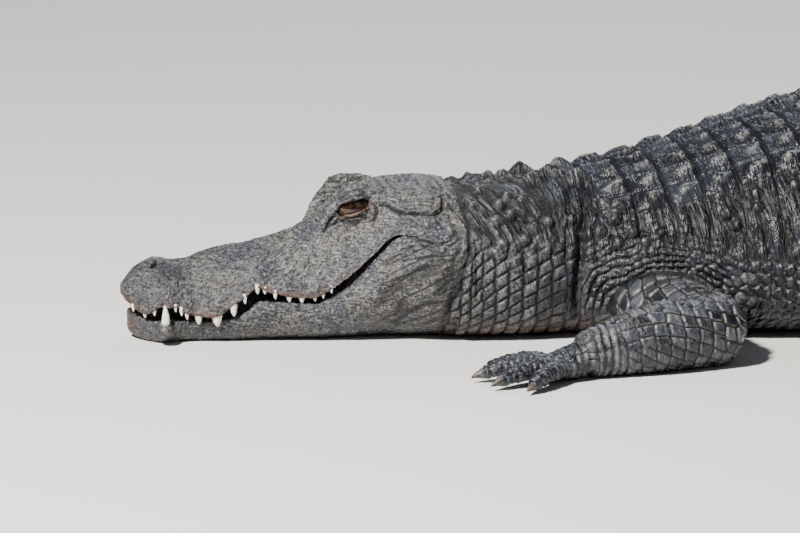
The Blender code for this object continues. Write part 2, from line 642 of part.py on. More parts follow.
def neck_relief(s, arc):
    """Nuchal plates, side knobs and the folds of the neck; arc runs down from the nape.

    Each knob's middle is moved to the nearest corner of the neck's grid, so that it keeps its point.
    """
    stations, fine = neck_grid()
    lift = sum(bump(s, arc, *plate) for plate in NUCHAL_PLATES)
    for knob_s, knob_arc in NECK_KNOBS:
        near = stations[np.argmin(np.abs(stations - knob_s))], fine[np.argmin(np.abs(fine - knob_arc))]
        lift = np.maximum(lift, bump(s, arc, *near, NECK_KNOB_REACH, NECK_KNOB_REACH, NECK_KNOB_HEIGHT))
    for middle, reach, depth in NECK_FOLDS:
        near = np.exp(-(((s - middle) / reach) ** 2))
        lift = lift - depth * near * np.clip((arc - NECK_FOLD_ARC[0]) / NECK_FOLD_ARC[1], 0, 1)
    return lift


def body_ring(s, arcs, lift):
    y, z, normal = at_arcs(body_outline(s), arcs)
    y, z = y + normal[:, 0] * lift, z + normal[:, 1] * lift
    y[0] = y[-1] = 0.0
    return mirrored_ring(s, y, np.maximum(z, FLOOR))


def neck_rings():
    rings = []
    stations, fine = neck_grid()
    for s in stations:
        coarse = np.linspace(NECK_FINE_ARC, outline_length(body_outline(s)), NECK_COARSE_COLUMNS + 1)[1:]
        arcs = np.concatenate([fine, coarse])
        inside = np.clip(min(s - HEAD_END, NECK_END - s) / NECK_END_BLEND, 0, 1)
        rings.append(body_ring(s, arcs, neck_relief(s, arcs) * inside))
    return rings


def trunk_arcs(s):
    width = hermite(SCUTE_WIDTH, s)
    shield = np.arange(2 * SCUTES_A_SIDE + 1) * width / 2
    length = outline_length(body_outline(s))
    flank = np.linspace(shield[-1], length, FLANK_COLUMNS + BELLY_COLUMNS + 1)[1:]
    return np.concatenate([shield, flank])


def keel_lift(row, share, varied):
    """Heights of one station of dorsal scutes: low at their sides, highest on the keels."""
    lift = np.zeros(2 * SCUTES_A_SIDE + 1 + FLANK_COLUMNS + BELLY_COLUMNS)
    for j in range(SCUTES_A_SIDE):
        height = KEEL_HEIGHTS[j] * varied[row, j]
        lift[2 * j + 1] = height * share
        lift[2 * j] = max(lift[2 * j], SCUTE_EDGE_SHARE * height * share)
        lift[2 * j + 2] = SCUTE_EDGE_SHARE * height * share
    shield = 2 * SCUTES_A_SIDE + 1
    for j in range(FLANK_COLUMNS):
        if (row + j) % 2:
            lift[shield + j] = FLANK_KNOB * share
    return lift


def trunk_rings(first, last, grow=0.0):
    varied = np.random.default_rng(7).uniform(*SCUTE_VARIATION, (DORSAL_ROWS + 1, SCUTES_A_SIDE))
    rings = []
    for row in range(first, last):
        for at, share in SCUTE_RISE:
            s = NECK_END + (row + at) * DORSAL_ROW + (GAP / 2 if row == first and at == 0 else 0)
            rings.append(body_ring(s, trunk_arcs(s), keel_lift(row, share, varied) + grow))
    s = NECK_END + last * DORSAL_ROW - GAP / 2
    rings.append(body_ring(s, trunk_arcs(s), keel_lift(last - 1, 0.0, varied) + grow))
    return rings


def whorl_edges():
    """Seams of the tail's whorls, each a little shorter than the one before."""
    lengths = np.linspace(1.0, LAST_WHORL_SHARE, TAIL_WHORLS)
    edges = np.concatenate([[0.0], np.cumsum(lengths)])
    return TAIL_START + edges / edges[-1] * (TOTAL_LENGTH - TAIL_START)


TAIL_SIDE_COLUMNS = 4


def tail_ring(s, rise, double, lean=0.0):
    """One ring of the tail with its crest pulled up, the crest's point leaning back."""
    outline = body_outline(s)
    length = outline_length(outline)
    height, arc = hermite(CREST_HEIGHT, s) * rise, hermite(CREST_ARC, s)
    thick = min(CREST_HALF_THICK, length * CREST_THIN_SHARE)
    crest = [0.0, arc - thick, arc, arc + thick] if double else [0.0, thick]
    arcs = np.concatenate([crest, np.linspace(crest[-1], length, TAIL_SIDE_COLUMNS + 1)[1:]])
    lift = np.full(len(arcs), WHORL_RAISE * (rise > 0.2))
    peak = 2 if double else 0
    lift[peak] += height
    y, z, normal = at_arcs(outline, arcs)
    up = np.zeros_like(normal)
    up[:, 1] = 1.0
    way = normal.copy()
    way[peak] = normal[peak] * CREST_SPREAD + up[peak]
    way[peak] /= np.linalg.norm(way[peak])
    y, z = y + way[:, 0] * lift, z + way[:, 1] * lift
    y[0] = y[-1] = 0.0
    ring = mirrored_ring(s, y, np.maximum(z, FLOOR))
    if lean:
        back = place(min(s + height * lean, TOTAL_LENGTH), 0.0, 0.0) - place(s, 0.0, 0.0)
        ring[peak] += back
        if double:
            ring[-peak] += back
    return ring


def tail_rings(first, last):
    edges = whorl_edges()
    double = first < 2 * WHORLS_A_LENGTH
    rings = []
    for whorl in range(first, last):
        for at, rise in CREST_RISE:
            s = edges[whorl] + (edges[whorl + 1] - edges[whorl]) * at
            if whorl == first and at == 0:
                s += GAP / 2
            rings.append(tail_ring(s, rise, double, CREST_LEAN * at))
    end = edges[last] - (GAP / 2 if last < TAIL_WHORLS else TAIL_TIP_SHORT)
    rings.append(tail_ring(end, CREST_FOOT, double))
    return rings


def limb_rings(joints, thickness, hand, grow=0.0):
    """A limb length: a smooth path through its joints with oval rings, both ends rounded off."""
    joints = np.array(joints, float)
    knots = np.linspace(0, 1, len(joints))
    at = np.linspace(0, 1, LIMB_STATIONS)
    path = np.stack([hermite(list(zip(knots, joints[:, i])), at) for i in range(3)], -1)
    thick = np.stack([hermite(list(zip(knots, [t[i] for t in thickness])), at) for i in range(2)], -1)
    points = place(path[:, 0], hand * path[:, 1], path[:, 2])
    ways = np.gradient(points, axis=0)
    ways /= np.linalg.norm(ways, axis=1)[:, None]
    start = points[0] - ways[0] * thick[0, 0] * LIMB_END_REACH
    end = points[-1] + ways[-1] * thick[-1, 0] * LIMB_END_REACH
    points = np.concatenate([[start, (start + points[0]) / 2], points, [(end + points[-1]) / 2, end]])
    ways = np.concatenate([[ways[0]] * 2, ways, [ways[-1]] * 2])
    small, large = LIMB_END_SHARES
    thick = np.concatenate([[thick[0] * small, thick[0] * large], thick, [thick[-1] * large, thick[-1] * small]])
    turn = np.arange(LIMB_SIDES) * 2 * math.pi / LIMB_SIDES
    rings = []
    for point, way, (across, up) in zip(points, ways, thick):
        side = np.cross(way, (0, 0, 1.0))
        side /= np.linalg.norm(side)
        rise = np.cross(side, way)
        ring = (point + np.cos(turn)[:, None] * side * (across + grow)
                + np.sin(turn)[:, None] * rise * (up + grow))
        ring[:, 2] = np.maximum(ring[:, 2], FLOOR)
        rings.append(ring)
    rings[0] -= ways[0] * grow
    rings[-1] += ways[-1] * grow
    return rings


TOE_SHARES = np.array([0.0, 0.4, 0.75, 1.0])
TOE_SWELL = (1.05, 1.0, 0.9, 0.5)
TOE_ARCH = 0.07
CLAW_SWELL = (0.58, 0.46, 0.12)


def toe(name, base, way, length, thick, claw):
    """A toe arched from the foot down to the floor, its joints swollen, with a hooked claw where it has one."""
    points = []
    for share in TOE_SHARES:
        arch = math.sin(math.pi * 0.9 * share) * length * TOE_ARCH
        high = (base.z + thick * 0.36) * (1 - share) + thick * 0.75 * share
        points.append(Vector((base.x, base.y, high + arch)) + way * length * share)
    made = [flat_rod(name, points, [thick * f for f in TOE_SWELL], TOE_SIDES)]
    if claw:
        tip = points[-1] - way * thick * 0.9
        hook = [tip, tip + way * claw * 0.6 + Vector((0, 0, claw * 0.08)),
                tip + way * claw * 1.12 - Vector((0, 0, claw * 0.22))]
        made.append(flat_rod(f"{name}_claw", hook, [thick * f for f in CLAW_SWELL], CLAW_SIDES))
    return made


def flat_rod(name, path, radius, sides):
    """A tube along a path that is flattened where it would reach below the floor."""
    made = rod(name, path, radius, sides)
    for vertex in made.data.vertices:
        vertex.co.z = max(vertex.co.z, FLOOR)
    return made


def paw(name, spec, hand, toes, sole):
    """A hand or foot: a flat-soled palm with its spread toes."""
    s, side, height, facing = spec
    length, half, thick = sole
    middle = Vector(place(s, hand * side, height))
    turn = np.interp(s, SPINE_S, SPINE_TURN)

    def way(spread):
        angle = math.radians(facing + spread)
        back, out = math.cos(angle), math.sin(angle) * hand
        return Vector((back * math.cos(turn) + out * math.sin(turn),
                       back * math.sin(turn) - out * math.cos(turn), 0))

    ahead = way(0)
    across = Vector((0, 0, 1)).cross(ahead)
    round_turns = np.arange(LIMB_SIDES) * 2 * math.pi / LIMB_SIDES
    rings = []
    for share, wide, tall in zip(np.linspace(-0.25, 1, len(PALM_WIDTHS)), PALM_WIDTHS, PALM_HEIGHTS):
        centre = middle + ahead * length * share
        centre.z = max(middle.z * (1 - share * 0.5), thick * tall * 0.72)
        ring = [centre + across * math.cos(t) * half * wide + Vector((0, 0, math.sin(t) * thick * tall))
                for t in round_turns]
        rings.append([(p.x, p.y, max(p.z, FLOOR)) for p in ring])
    made = mesh_object(name, rings, HIDE_LIMB)
    pieces = []
    for i, (spread, long, fat, claw) in enumerate(toes):
        outward = (1 - 2 * i / (len(toes) - 1)) * hand
        root = middle + ahead * length * 0.62 + across * half * 0.78 * outward
        root.z = fat * 1.25
        pieces += toe(f"{name}_toe_{i}", root, way(spread), long, fat, claw)
    join(made, pieces)
    return made


def make_limb(names, spec, hand, toes, sole, trunk_cutter):
    """A limb in three nodes, each cut clear of the one that it grows from."""
    upper, lower, end = (f"{name}_{SUFFIX[hand]}" for name in names)
    upper_spec, lower_spec, end_spec = (spec[name] for name in names)
    first = mesh_object(upper, limb_rings(*upper_spec, hand), HIDE_LIMB)
    cut(first, [trunk_cutter])
    second = mesh_object(lower, limb_rings(*lower_spec, hand), HIDE_LIMB)
    upper_cutter = mesh_object(f"{upper}_clear", limb_rings(*upper_spec, hand, CUTTER_GROWTH), HIDE_DARK)
    cut(second, [trunk_cutter, upper_cutter])
    third = paw(end, end_spec, hand, toes, sole)
    lower_cutter = mesh_object(f"{lower}_clear", limb_rings(*lower_spec, hand, CUTTER_GROWTH), HIDE_DARK)
    cut(third, [lower_cutter])


def clear_scene():
    for thing in list(bpy.data.objects):
        bpy.data.objects.remove(thing)


def main():
    clear_scene()
    make_head()
    make_lower_jaw()
    mesh_object("neck", neck_rings(), HIDE_DARK)
    mesh_object("torso_front", trunk_rings(0, FRONT_ROWS), HIDE_DARK)
    mesh_object("torso_rear", trunk_rings(FRONT_ROWS, DORSAL_ROWS), HIDE_DARK)
    for i, name in enumerate(("tail_base", "tail_front", "tail_rear", "tail_tip")):
        mesh_object(name, tail_rings(i * WHORLS_A_LENGTH, (i + 1) * WHORLS_A_LENGTH), HIDE_DARK)
    front_cutter = mesh_object("torso_front_clear", trunk_rings(0, FRONT_ROWS, CUTTER_GROWTH), HIDE_DARK)
    rear_cutter = mesh_object("torso_rear_clear", trunk_rings(FRONT_ROWS, DORSAL_ROWS, CUTTER_GROWTH), HIDE_DARK)
    arm, leg = ("upper_arm", "forearm", "hand"), ("thigh", "shank", "foot")
    make_limb(arm, FRONT_LEFT, 1, HAND_TOES, HAND_PALM, front_cutter)
    make_limb(arm, FRONT_RIGHT, -1, HAND_TOES, HAND_PALM, front_cutter)
    make_limb(leg, HIND_LEFT, 1, FOOT_TOES, FOOT_SOLE, rear_cutter)
    make_limb(leg, HIND_RIGHT, -1, FOOT_TOES, FOOT_SOLE, rear_cutter)


main()
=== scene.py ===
import json
import math

import bmesh
import bpy
import numpy as np
from mathutils import Matrix, Vector

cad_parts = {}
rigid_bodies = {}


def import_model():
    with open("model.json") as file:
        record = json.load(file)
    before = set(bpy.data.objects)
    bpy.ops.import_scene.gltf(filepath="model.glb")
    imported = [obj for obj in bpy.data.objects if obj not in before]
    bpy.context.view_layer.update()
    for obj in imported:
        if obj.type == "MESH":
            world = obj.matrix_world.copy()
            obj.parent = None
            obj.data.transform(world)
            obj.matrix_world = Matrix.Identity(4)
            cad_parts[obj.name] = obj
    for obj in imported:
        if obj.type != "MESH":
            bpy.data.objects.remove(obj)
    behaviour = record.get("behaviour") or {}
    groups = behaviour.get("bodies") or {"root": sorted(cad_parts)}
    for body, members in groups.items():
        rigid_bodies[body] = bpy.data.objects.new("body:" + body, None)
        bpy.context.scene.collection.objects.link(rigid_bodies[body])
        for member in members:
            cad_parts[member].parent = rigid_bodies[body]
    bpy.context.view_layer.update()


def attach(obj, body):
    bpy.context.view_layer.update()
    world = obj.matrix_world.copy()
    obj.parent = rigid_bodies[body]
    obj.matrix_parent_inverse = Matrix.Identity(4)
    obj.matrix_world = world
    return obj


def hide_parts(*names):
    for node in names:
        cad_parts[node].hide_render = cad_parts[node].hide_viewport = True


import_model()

# Looks of a life-size american alligator that lies on a studio floor.
# Metres, +Z up. The head points along -X and the animal's left side faces -Y.
# A place on the animal is told by s, the distance from the snout tip along the spine, by a
# sideways distance that is positive to the left, and by a height above the floor.

TOTAL_LENGTH = 3.30
GAP = 0.0003
ORIGIN_S = 1.10

# Where the body is parted across the spine
HEAD_END = 0.455
NECK_END = 0.638
DORSAL_ROWS = 21
DORSAL_ROW = 0.0466
TAIL_START = NECK_END + DORSAL_ROWS * DORSAL_ROW
TAIL_WHORLS = 40
WHORLS_A_LENGTH = 10
LAST_WHORL_SHARE = 0.76

# Heading of the spine in degrees, walking from the snout to the tail tip; positive turns to the right side
HEADING = [(0.0, -3.0), (0.42, -3.0), (0.64, 0.0), (1.5, 0.0), (2.05, -17.0), (2.55, -24.0), (3.0, -6.0),
    (TOTAL_LENGTH, 6.0)]

# Head: heights and half widths against s
SNOUT_ROUND = 0.046
SNOUT_TIP_HEIGHT = 0.066
SKULL_TOP = [(0.0, 0.096), (0.03, 0.103), (0.05, 0.106), (0.075, 0.104), (0.095, 0.107), (0.113, 0.1135), (0.13,
    0.118), (0.151, 0.121), (0.189, 0.127), (0.224, 0.136), (0.26, 0.15), (0.284, 0.167), (0.312, 0.188),
    (0.345, 0.2), (0.42, 0.204), (HEAD_END, 0.199)]
UPPER_LIP = [(0.0, 0.04), (0.028, 0.0395), (0.049, 0.051), (0.068, 0.05), (0.086, 0.041), (0.11, 0.038), (0.125,
    0.04), (0.144, 0.052), (0.16, 0.063), (0.179, 0.077), (0.196, 0.07), (0.224, 0.065), (0.248, 0.063), (0.266,
    0.068), (0.295, 0.087), (0.312, 0.101), (0.338, 0.129), (0.353, 0.144), (0.367, 0.151), (0.398, 0.1495),
    (0.422, 0.1435), (HEAD_END, 0.138)]
LIP_HALF = [(0.0, 0.052), (0.03, 0.058), (0.06, 0.066), (0.092, 0.067), (0.125, 0.075), (0.17, 0.081), (0.22,
    0.086), (0.27, 0.093), (0.31, 0.103), (0.36, 0.119), (0.41, 0.133), (HEAD_END, 0.139)]
CROWN_HALF = [(0.0, 0.04), (0.053, 0.05), (0.092, 0.049), (0.14, 0.058), (0.22, 0.064), (0.27, 0.068), (0.312,
    0.08), (0.345, 0.078), (0.43, 0.088), (HEAD_END, 0.11)]
CROWN_POWER = [(0.0, 2.2), (0.1, 2.5), (0.25, 2.7), (0.312, 3.2), (0.36, 4.6), (0.42, 4.6), (HEAD_END, 2.8)]
FLARE_POWER = [(0.0, 1.0), (0.25, 1.2), (0.33, 2.0), (0.43, 2.2), (HEAD_END, 1.4)]
PALATE_ARCH = 0.005

# Lower jaw: the height of its lip, and how far it lies inside the upper lip
JAW_TIP_S = 0.010
JAW_ROUND = 0.045
LOWER_LIP = [(0.0, 0.036), (0.02, 0.035), (0.04, 0.031), (0.12, 0.03), (0.145, 0.033), (0.164, 0.043), (0.184,
    0.057), (0.206, 0.057), (0.24, 0.055), (0.255, 0.054), (0.273, 0.06), (0.293, 0.071), (0.307, 0.083),
    (0.325, 0.103), (0.34, 0.1215), (0.353, 0.1375), (0.364, 0.1468), (0.376, 0.1493), (0.398, 0.1489), (0.422,
    0.143), (HEAD_END, 0.1376)]
JAW_INSET = [(0.0, 0.007), (0.036, 0.005), (0.0535, 0.001), (0.076, 0.009), (0.13, 0.014), (0.165, 0.01), (0.19,
    0.006), (0.24, 0.004), (0.3, 0.002), (0.36, 0.0005), (0.425, 0.0), (HEAD_END, 0.0)]
JOWL = [(0.0, 0.0), (0.22, 0.03), (0.3, 0.08), (0.4, 0.16), (HEAD_END, 0.12)]
JAW_KEEL_DEPTH = 0.006
JAW_POWER = 2.6

# Body behind the head
BODY_TOP = [(HEAD_END, 0.199), (0.5, 0.202), (0.56, 0.206), (0.62, 0.209), (0.7, 0.22), (0.8, 0.243), (0.9,
    0.271), (1.0, 0.295), (1.12, 0.307), (1.25, 0.301), (1.38, 0.28), (1.5, 0.25), (1.62, 0.224), (1.78, 0.203),
    (2.0, 0.178), (2.3, 0.146), (2.6, 0.116), (2.9, 0.083), (3.15, 0.05), (TOTAL_LENGTH, 0.014)]
BODY_HALF = [(HEAD_END, 0.139), (0.5, 0.146), (0.56, 0.148), (0.605, 0.143), (0.66, 0.158), (0.74, 0.182),
    (0.84, 0.214), (0.94, 0.243), (1.06, 0.263), (1.2, 0.264), (1.34, 0.24), (1.48, 0.196), (1.6, 0.15), (1.74,
    0.118), (1.95, 0.093), (2.25, 0.069), (2.6, 0.045), (2.9, 0.029), (3.15, 0.016), (TOTAL_LENGTH, 0.005)]
WAIST_SHARE = [(HEAD_END, 0.46), (0.6, 0.42), (0.9, 0.38), (1.2, 0.36), (1.6, 0.4), (2.2, 0.42), (TOTAL_LENGTH,
    0.45)]
BACK_POWER = [(HEAD_END, 2.7), (0.55, 2.4), (0.9, 2.3), (1.4, 2.25), (1.7, 2.1), (2.4, 1.8), (TOTAL_LENGTH,
    1.8)]
BELLY_POWER = [(HEAD_END, 3.0), (0.9, 3.2), (1.5, 3.0), (1.9, 2.6), (TOTAL_LENGTH, 2.2)]
BELLY_SINK = 0.004

# Dorsal scutes: three wide on each side, from a seam forward to a raised keel behind
SCUTES_A_SIDE = 4
SCUTE_WIDTH = [(0.62, 0.034), (0.8, 0.041), (1.1, 0.046), (1.35, 0.042), (1.62, 0.026)]
KEEL_HEIGHTS = (0.011, 0.010, 0.011, 0.014)

# Tail: two crests that draw together, then one
CREST_ARC = [(TAIL_START, 0.078), (1.9, 0.052), (2.2, 0.028), (2.42, 0.011), (TOTAL_LENGTH, 0.011)]
CREST_HEIGHT = [(TAIL_START, 0.016), (1.85, 0.022), (2.3, 0.03), (2.6, 0.032), (2.95, 0.024), (TOTAL_LENGTH,
    0.006)]
CREST_HALF_THICK = 0.007
CREST_LEAN = 0.30
CREST_STOP = 0.0045

# Eye and its lids, ear slit and nostril
EYE_S = 0.314
EYE_SIDE = 0.0565
EYE_HEIGHT = 0.1795
EYE_RADIUS = 0.0212
LID_RADIUS = 0.0252
EYE_LOOK = (-0.16, 0.95, 0.26)
EYE_OPENING = (0.0325, 0.0084, 0.028)
EYE_OPENING_FORWARD = 0.004
EYE_OPENING_TILT = 15.0
BROW = (0.322, 0.052, 0.032, 0.018, 0.014)
BROW_RIDGE = ((0.356, 0.05, 0.193, 0.008), (0.34, 0.0505, 0.1955, 0.0095), (0.322, 0.051, 0.195, 0.0115),
    (0.304, 0.051, 0.188, 0.012), (0.289, 0.0495, 0.174, 0.011), (0.276, 0.047, 0.156, 0.008), (0.264, 0.043,
    0.138, 0.005))
NASAL_MOUND = (0.050, 0.0, 0.028, 0.026, 0.003)
NOSTRIL = (0.046, 0.0185, 0.0100, 0.0048, 0.009)
NOSTRIL_TURN = 40.0
EAR_SLIT = ((0.342, 0.19), (0.358, 0.187), (0.373, 0.179), (0.393, 0.175), (0.42, 0.173), (0.433, 0.179),
    (0.436, 0.19))

# Teeth: s, length and width; the upper ones hang outside the lower jaw
UPPER_TEETH = ((0.014, 0.006, 0.005), (0.028, 0.007, 0.006), (0.04, 0.008, 0.006), (0.068, 0.006, 0.005),
    (0.076, 0.008, 0.0055), (0.0835, 0.009, 0.006), (0.0995, 0.013, 0.0105), (0.124, 0.017, 0.015), (0.146,
    0.016, 0.011), (0.161, 0.009, 0.006), (0.178, 0.009, 0.007), (0.188, 0.006, 0.006), (0.202, 0.008, 0.0065),
    (0.221, 0.0115, 0.009), (0.238, 0.01, 0.009), (0.2555, 0.007, 0.007), (0.2665, 0.007, 0.006), (0.2775,
    0.006, 0.005))
LOWER_FANG = (0.0535, 0.0255, 0.0125)
FANG_OUTSET = 0.0048
TOOTH_ROOT = 0.005
TOOTH_INSET = 0.0045

# Toes as (spread in degrees, length, half thickness, claw length); the first is the inner one
HAND_TOES = ((-44.0, 0.076, 0.0115, 0.02), (-20.0, 0.096, 0.0125, 0.022), (2.0, 0.102, 0.0125, 0.022), (26.0,
    0.088, 0.011, 0.0), (55.0, 0.07, 0.01, 0.0))
HAND_PALM = (0.060, 0.034, 0.022)
FOOT_TOES = ((-24.0, 0.112, 0.014, 0.026), (-8.0, 0.134, 0.0145, 0.028), (8.0, 0.138, 0.014, 0.026), (25.0,
    0.118, 0.012, 0.0))
FOOT_SOLE = (0.112, 0.040, 0.026)


def hermite(table, s):
    """A smooth curve through (place, value) pairs: cubic pieces whose slopes never overshoot."""
    x, y = np.array(table, float).T
    s = np.clip(np.asarray(s, float), x[0], x[-1])
    step, rise = np.diff(x), np.diff(y)
    secant = rise / step
    slope = np.zeros_like(y)
    same_way = secant[:-1] * secant[1:] > 0
    weighted = (step[1:] + step[:-1]) * 1.5
    inner = weighted / ((step[1:] * 0.5 + step[:-1]) / np.where(same_way, secant[:-1], 1)
                        + (step[1:] + step[:-1] * 0.5) / np.where(same_way, secant[1:], 1))
    slope[1:-1] = np.where(same_way, inner, 0)
    slope[0], slope[-1] = secant[0], secant[-1]
    i = np.clip(np.searchsorted(x, s, side="right") - 1, 0, len(step) - 1)
    t = (s - x[i]) / step[i]
    a = 2 * t**3 - 3 * t**2 + 1
    b = t**3 - 2 * t**2 + t
    c = -2 * t**3 + 3 * t**2
    d = t**3 - t**2
    return a * y[i] + b * step[i] * slope[i] + c * y[i + 1] + d * step[i] * slope[i + 1]


SPINE_S = np.linspace(0.0, TOTAL_LENGTH, 661)


def spine_path():
    """The spine on the floor plane: the heading added up step by step from the snout tip."""
    turn = np.radians(hermite(HEADING, SPINE_S))
    step = SPINE_S[1] - SPINE_S[0]
    ways = (np.cos(turn), np.sin(turn))
    paths = [np.concatenate([[0.0], np.cumsum((way[1:] + way[:-1]) / 2 * step)]) for way in ways]
    return *(path - np.interp(ORIGIN_S, SPINE_S, path) for path in paths), turn


SPINE_X, SPINE_Y, SPINE_TURN = spine_path()


def place(s, side, height):
    """World points of places on the animal; side is positive to its left, which faces -Y."""
    x, y, turn = (np.interp(s, SPINE_S, v) for v in (SPINE_X, SPINE_Y, SPINE_TURN))
    return np.stack(np.broadcast_arrays(x + np.sin(turn) * side, y - np.cos(turn) * side, height), -1)


def snout_round(s, reach):
    """Quarter-circle growth from 0 at the tip to 1 a reach behind it."""
    return np.sqrt(1 - (1 - np.clip(s / reach, 0, 1)) ** 2)


def mouth_height(s):
    """Height of the upper lip, drawn to the snout's tip."""
    return SNOUT_TIP_HEIGHT + (hermite(UPPER_LIP, s) - SNOUT_TIP_HEIGHT) * snout_round(s, SNOUT_ROUND)


def lip_half(s):
    """Half width across the upper lips."""
    return hermite(LIP_HALF, s) * snout_round(s, SNOUT_ROUND)


SECTION_POINTS = 160


def head_outline(s):
    """Half section of the upper head, from the top of the crown out and down to the lip."""
    turn = np.linspace(math.pi / 2, 0, SECTION_POINTS)
    grown = snout_round(s, SNOUT_ROUND)
    low, power = mouth_height(s), hermite(CROWN_POWER, s)
    top = SNOUT_TIP_HEIGHT + (hermite(SKULL_TOP, s) - SNOUT_TIP_HEIGHT) * grown
    crown, lip = hermite(CROWN_HALF, s) * grown, lip_half(s)
    share = np.sin(turn) ** (2 / power)
    half = crown + (lip - crown) * (1 - share) ** hermite(FLARE_POWER, s)
    return np.abs(np.cos(turn)) ** (2 / power) * half, low + (top - low) * share


def jaw_outline(s):
    """Half section of the lower jaw, from its lip out and down to the chin line."""
    turn = np.linspace(0, math.pi / 2, SECTION_POINTS)
    grown = snout_round(s - JAW_TIP_S, JAW_ROUND)
    high = hermite(LOWER_LIP, s)
    half = (hermite(LIP_HALF, s) - hermite(JAW_INSET, s)) * grown
    depth = high + JAW_KEEL_DEPTH
    share = np.sin(turn) ** (2 / JAW_POWER)
    bulge = 1 + hermite(JOWL, s) * np.sin(math.pi * np.clip(share, 0, 1)) * 0.8
    return np.cos(turn) ** (2 / JAW_POWER) * half * bulge, high - depth * share * (0.5 + 0.5 * grown)


def body_outline(s):
    """Half section of neck, trunk or tail, from the back out and down to the belly, cut flat at the floor."""
    top, half = hermite(BODY_TOP, s), hermite(BODY_HALF, s)
    waist = top * hermite(WAIST_SHARE, s)
    back, belly = 2 / hermite(BACK_POWER, s), 2 / hermite(BELLY_POWER, s)
    upper = np.linspace(math.pi / 2, 0, SECTION_POINTS)
    lower = upper[::-1][1:]
    side = np.concatenate([np.cos(upper) ** back, np.cos(lower) ** belly]) * half
    height = np.concatenate([waist + (top - waist) * np.sin(upper) ** back,
                             waist - (waist + BELLY_SINK) * np.sin(lower) ** belly])
    side[0] = side[-1] = 0.0
    return side, height


def run_of(side, height):
    """Distance along a half section from its first point."""
    return np.concatenate([[0.0], np.cumsum(np.hypot(np.diff(side), np.diff(height)))])


def run_along(path):
    """Distance along a path of points from its first point."""
    return np.concatenate([[0.0], np.cumsum(np.linalg.norm(np.diff(path, axis=0), axis=1))])


def curve_through(knots, points, at):
    """A smooth curve through points that stand at knots, one column at a time."""
    return np.stack([hermite(list(zip(knots, column)), at) for column in np.asarray(points, float).T], -1)


def at_arc(outline, arc):
    """Side, height and outward normal of a half section at a distance along it from its first point."""
    side, height = outline
    run = run_of(side, height)
    arc, reach = min(arc, run[-1]), max(run[-1] * 0.01, 1e-5)
    dy = np.interp(arc + reach, run, side) - np.interp(arc - reach, run, side)
    dz = np.interp(arc + reach, run, height) - np.interp(arc - reach, run, height)
    length = max(np.hypot(dy, dz), 1e-9)
    normal = (-dz / length, dy / length) if arc > 0 else (0.0, 1.0)
    return np.interp(arc, run, side), np.interp(arc, run, height), np.array(normal)


def bell(far):
    """A cosine bell: 1 in the middle and 0 from its reach on."""
    return np.where(far < 1, 0.5 + 0.5 * np.cos(math.pi * np.clip(far, 0, 1)), 0.0)


def bump(s, side, middle_s, middle_side, reach_s, reach_side, height):
    """A rounded knob: a cosine bell that ends at its reach."""
    return height * bell(np.sqrt(((s - middle_s) / reach_s) ** 2 + ((side - middle_side) / reach_side) ** 2))


def hump(x, wide, y=0.0, tall=1.0):
    """A soft hump: e to the power of minus (x / wide)² + (y / tall)²."""
    return np.exp(-((x / wide) ** 2 + (y / tall) ** 2))


def head_relief(s, side):
    """What stands proud of the plain crown: the brows over the eyes and the mound round the nostrils."""
    return bump(s, np.abs(side), *BROW) + bump(s, side, *NASAL_MOUND)


def turned(direction):
    """Rotation whose local z axis looks along a direction and whose x axis lies level."""
    z = Vector(direction).normalized()
    x = Vector((0, 0, 1)).cross(z).normalized()
    return Matrix((x, z.cross(x), z)).transposed()


def floor_way(turn, back, left):
    """x and y of a way on the floor that goes backward and to the animal's left, where the spine has a turn."""
    return back * math.cos(turn) + left * math.sin(turn), back * math.sin(turn) - left * math.cos(turn)


def head_direction(local):
    """World direction from (backward, left, up) in the head's own frame."""
    turn = math.radians(HEADING[0][1])
    back, left, up = local
    return Vector((*floor_way(turn, back, left), up))


def eye_place(hand):
    """Middle of an eye."""
    return Vector(place(EYE_S, hand * EYE_SIDE, EYE_HEIGHT))


def whorl_edges():
    """Seams of the tail's whorls, each a little shorter than the one before."""
    lengths = np.linspace(1.0, LAST_WHORL_SHARE, TAIL_WHORLS)
    edges = np.concatenate([[0.0], np.cumsum(lengths)])
    return TAIL_START + edges / edges[-1] * (TOTAL_LENGTH - TAIL_START)


FINE = 1.0
HEAD_VOXEL = 0.00136 * FINE
FRONT_VOXEL = 0.00173 * FINE
REAR_VOXEL = 0.0029 * FINE
# Rounds of smoothing at the roots of arms and legs, and how far the smoothing reaches
FRONT_CALM = 36
REAR_CALM = 16
ROOT_REACH = 0.016
# Relief on the top of the back is eased in above this height
TOP_EASED_FROM = 0.311
TOP_EASE = 0.24
# Where the head's form runs into the neck's, and how far neighbouring skins lap over each other
NECK_OVERLAP = (0.445, 0.50)
JAW_LAP = 0.0012
SEAM_LAP = 0.002
SEAM_S = NECK_END + 8 * DORSAL_ROW
RING_HALF = 56
MOUTH_POINTS = 30
LIMB_ROUND = 40
LIMB_STATIONS = 60
# Where toes take root along the palm, how far round a limb its skin is looked for, and points taken at a time
TOE_ROOT_SHARE = 0.62
LIMB_REACH = 0.16
BLOCK = 40000
PAW_STATIONS = 24
TOE_STATIONS = 30
# How soon the brows' relief grows above the lip
CROWN_BLEND = 0.02
# A limb length is rounded off by half an ellipsoid of this share of its half thickness
CAP_SHARE = 0.66
CAP_TURNS = np.radians([80, 66, 50, 34, 17])


def smooth(value, low, high):
    """0 below low, 1 above high, and the curve 3t² - 2t³ between."""
    t = np.clip((value - low) / (high - low), 0, 1)
    return t * t * (3 - 2 * t)


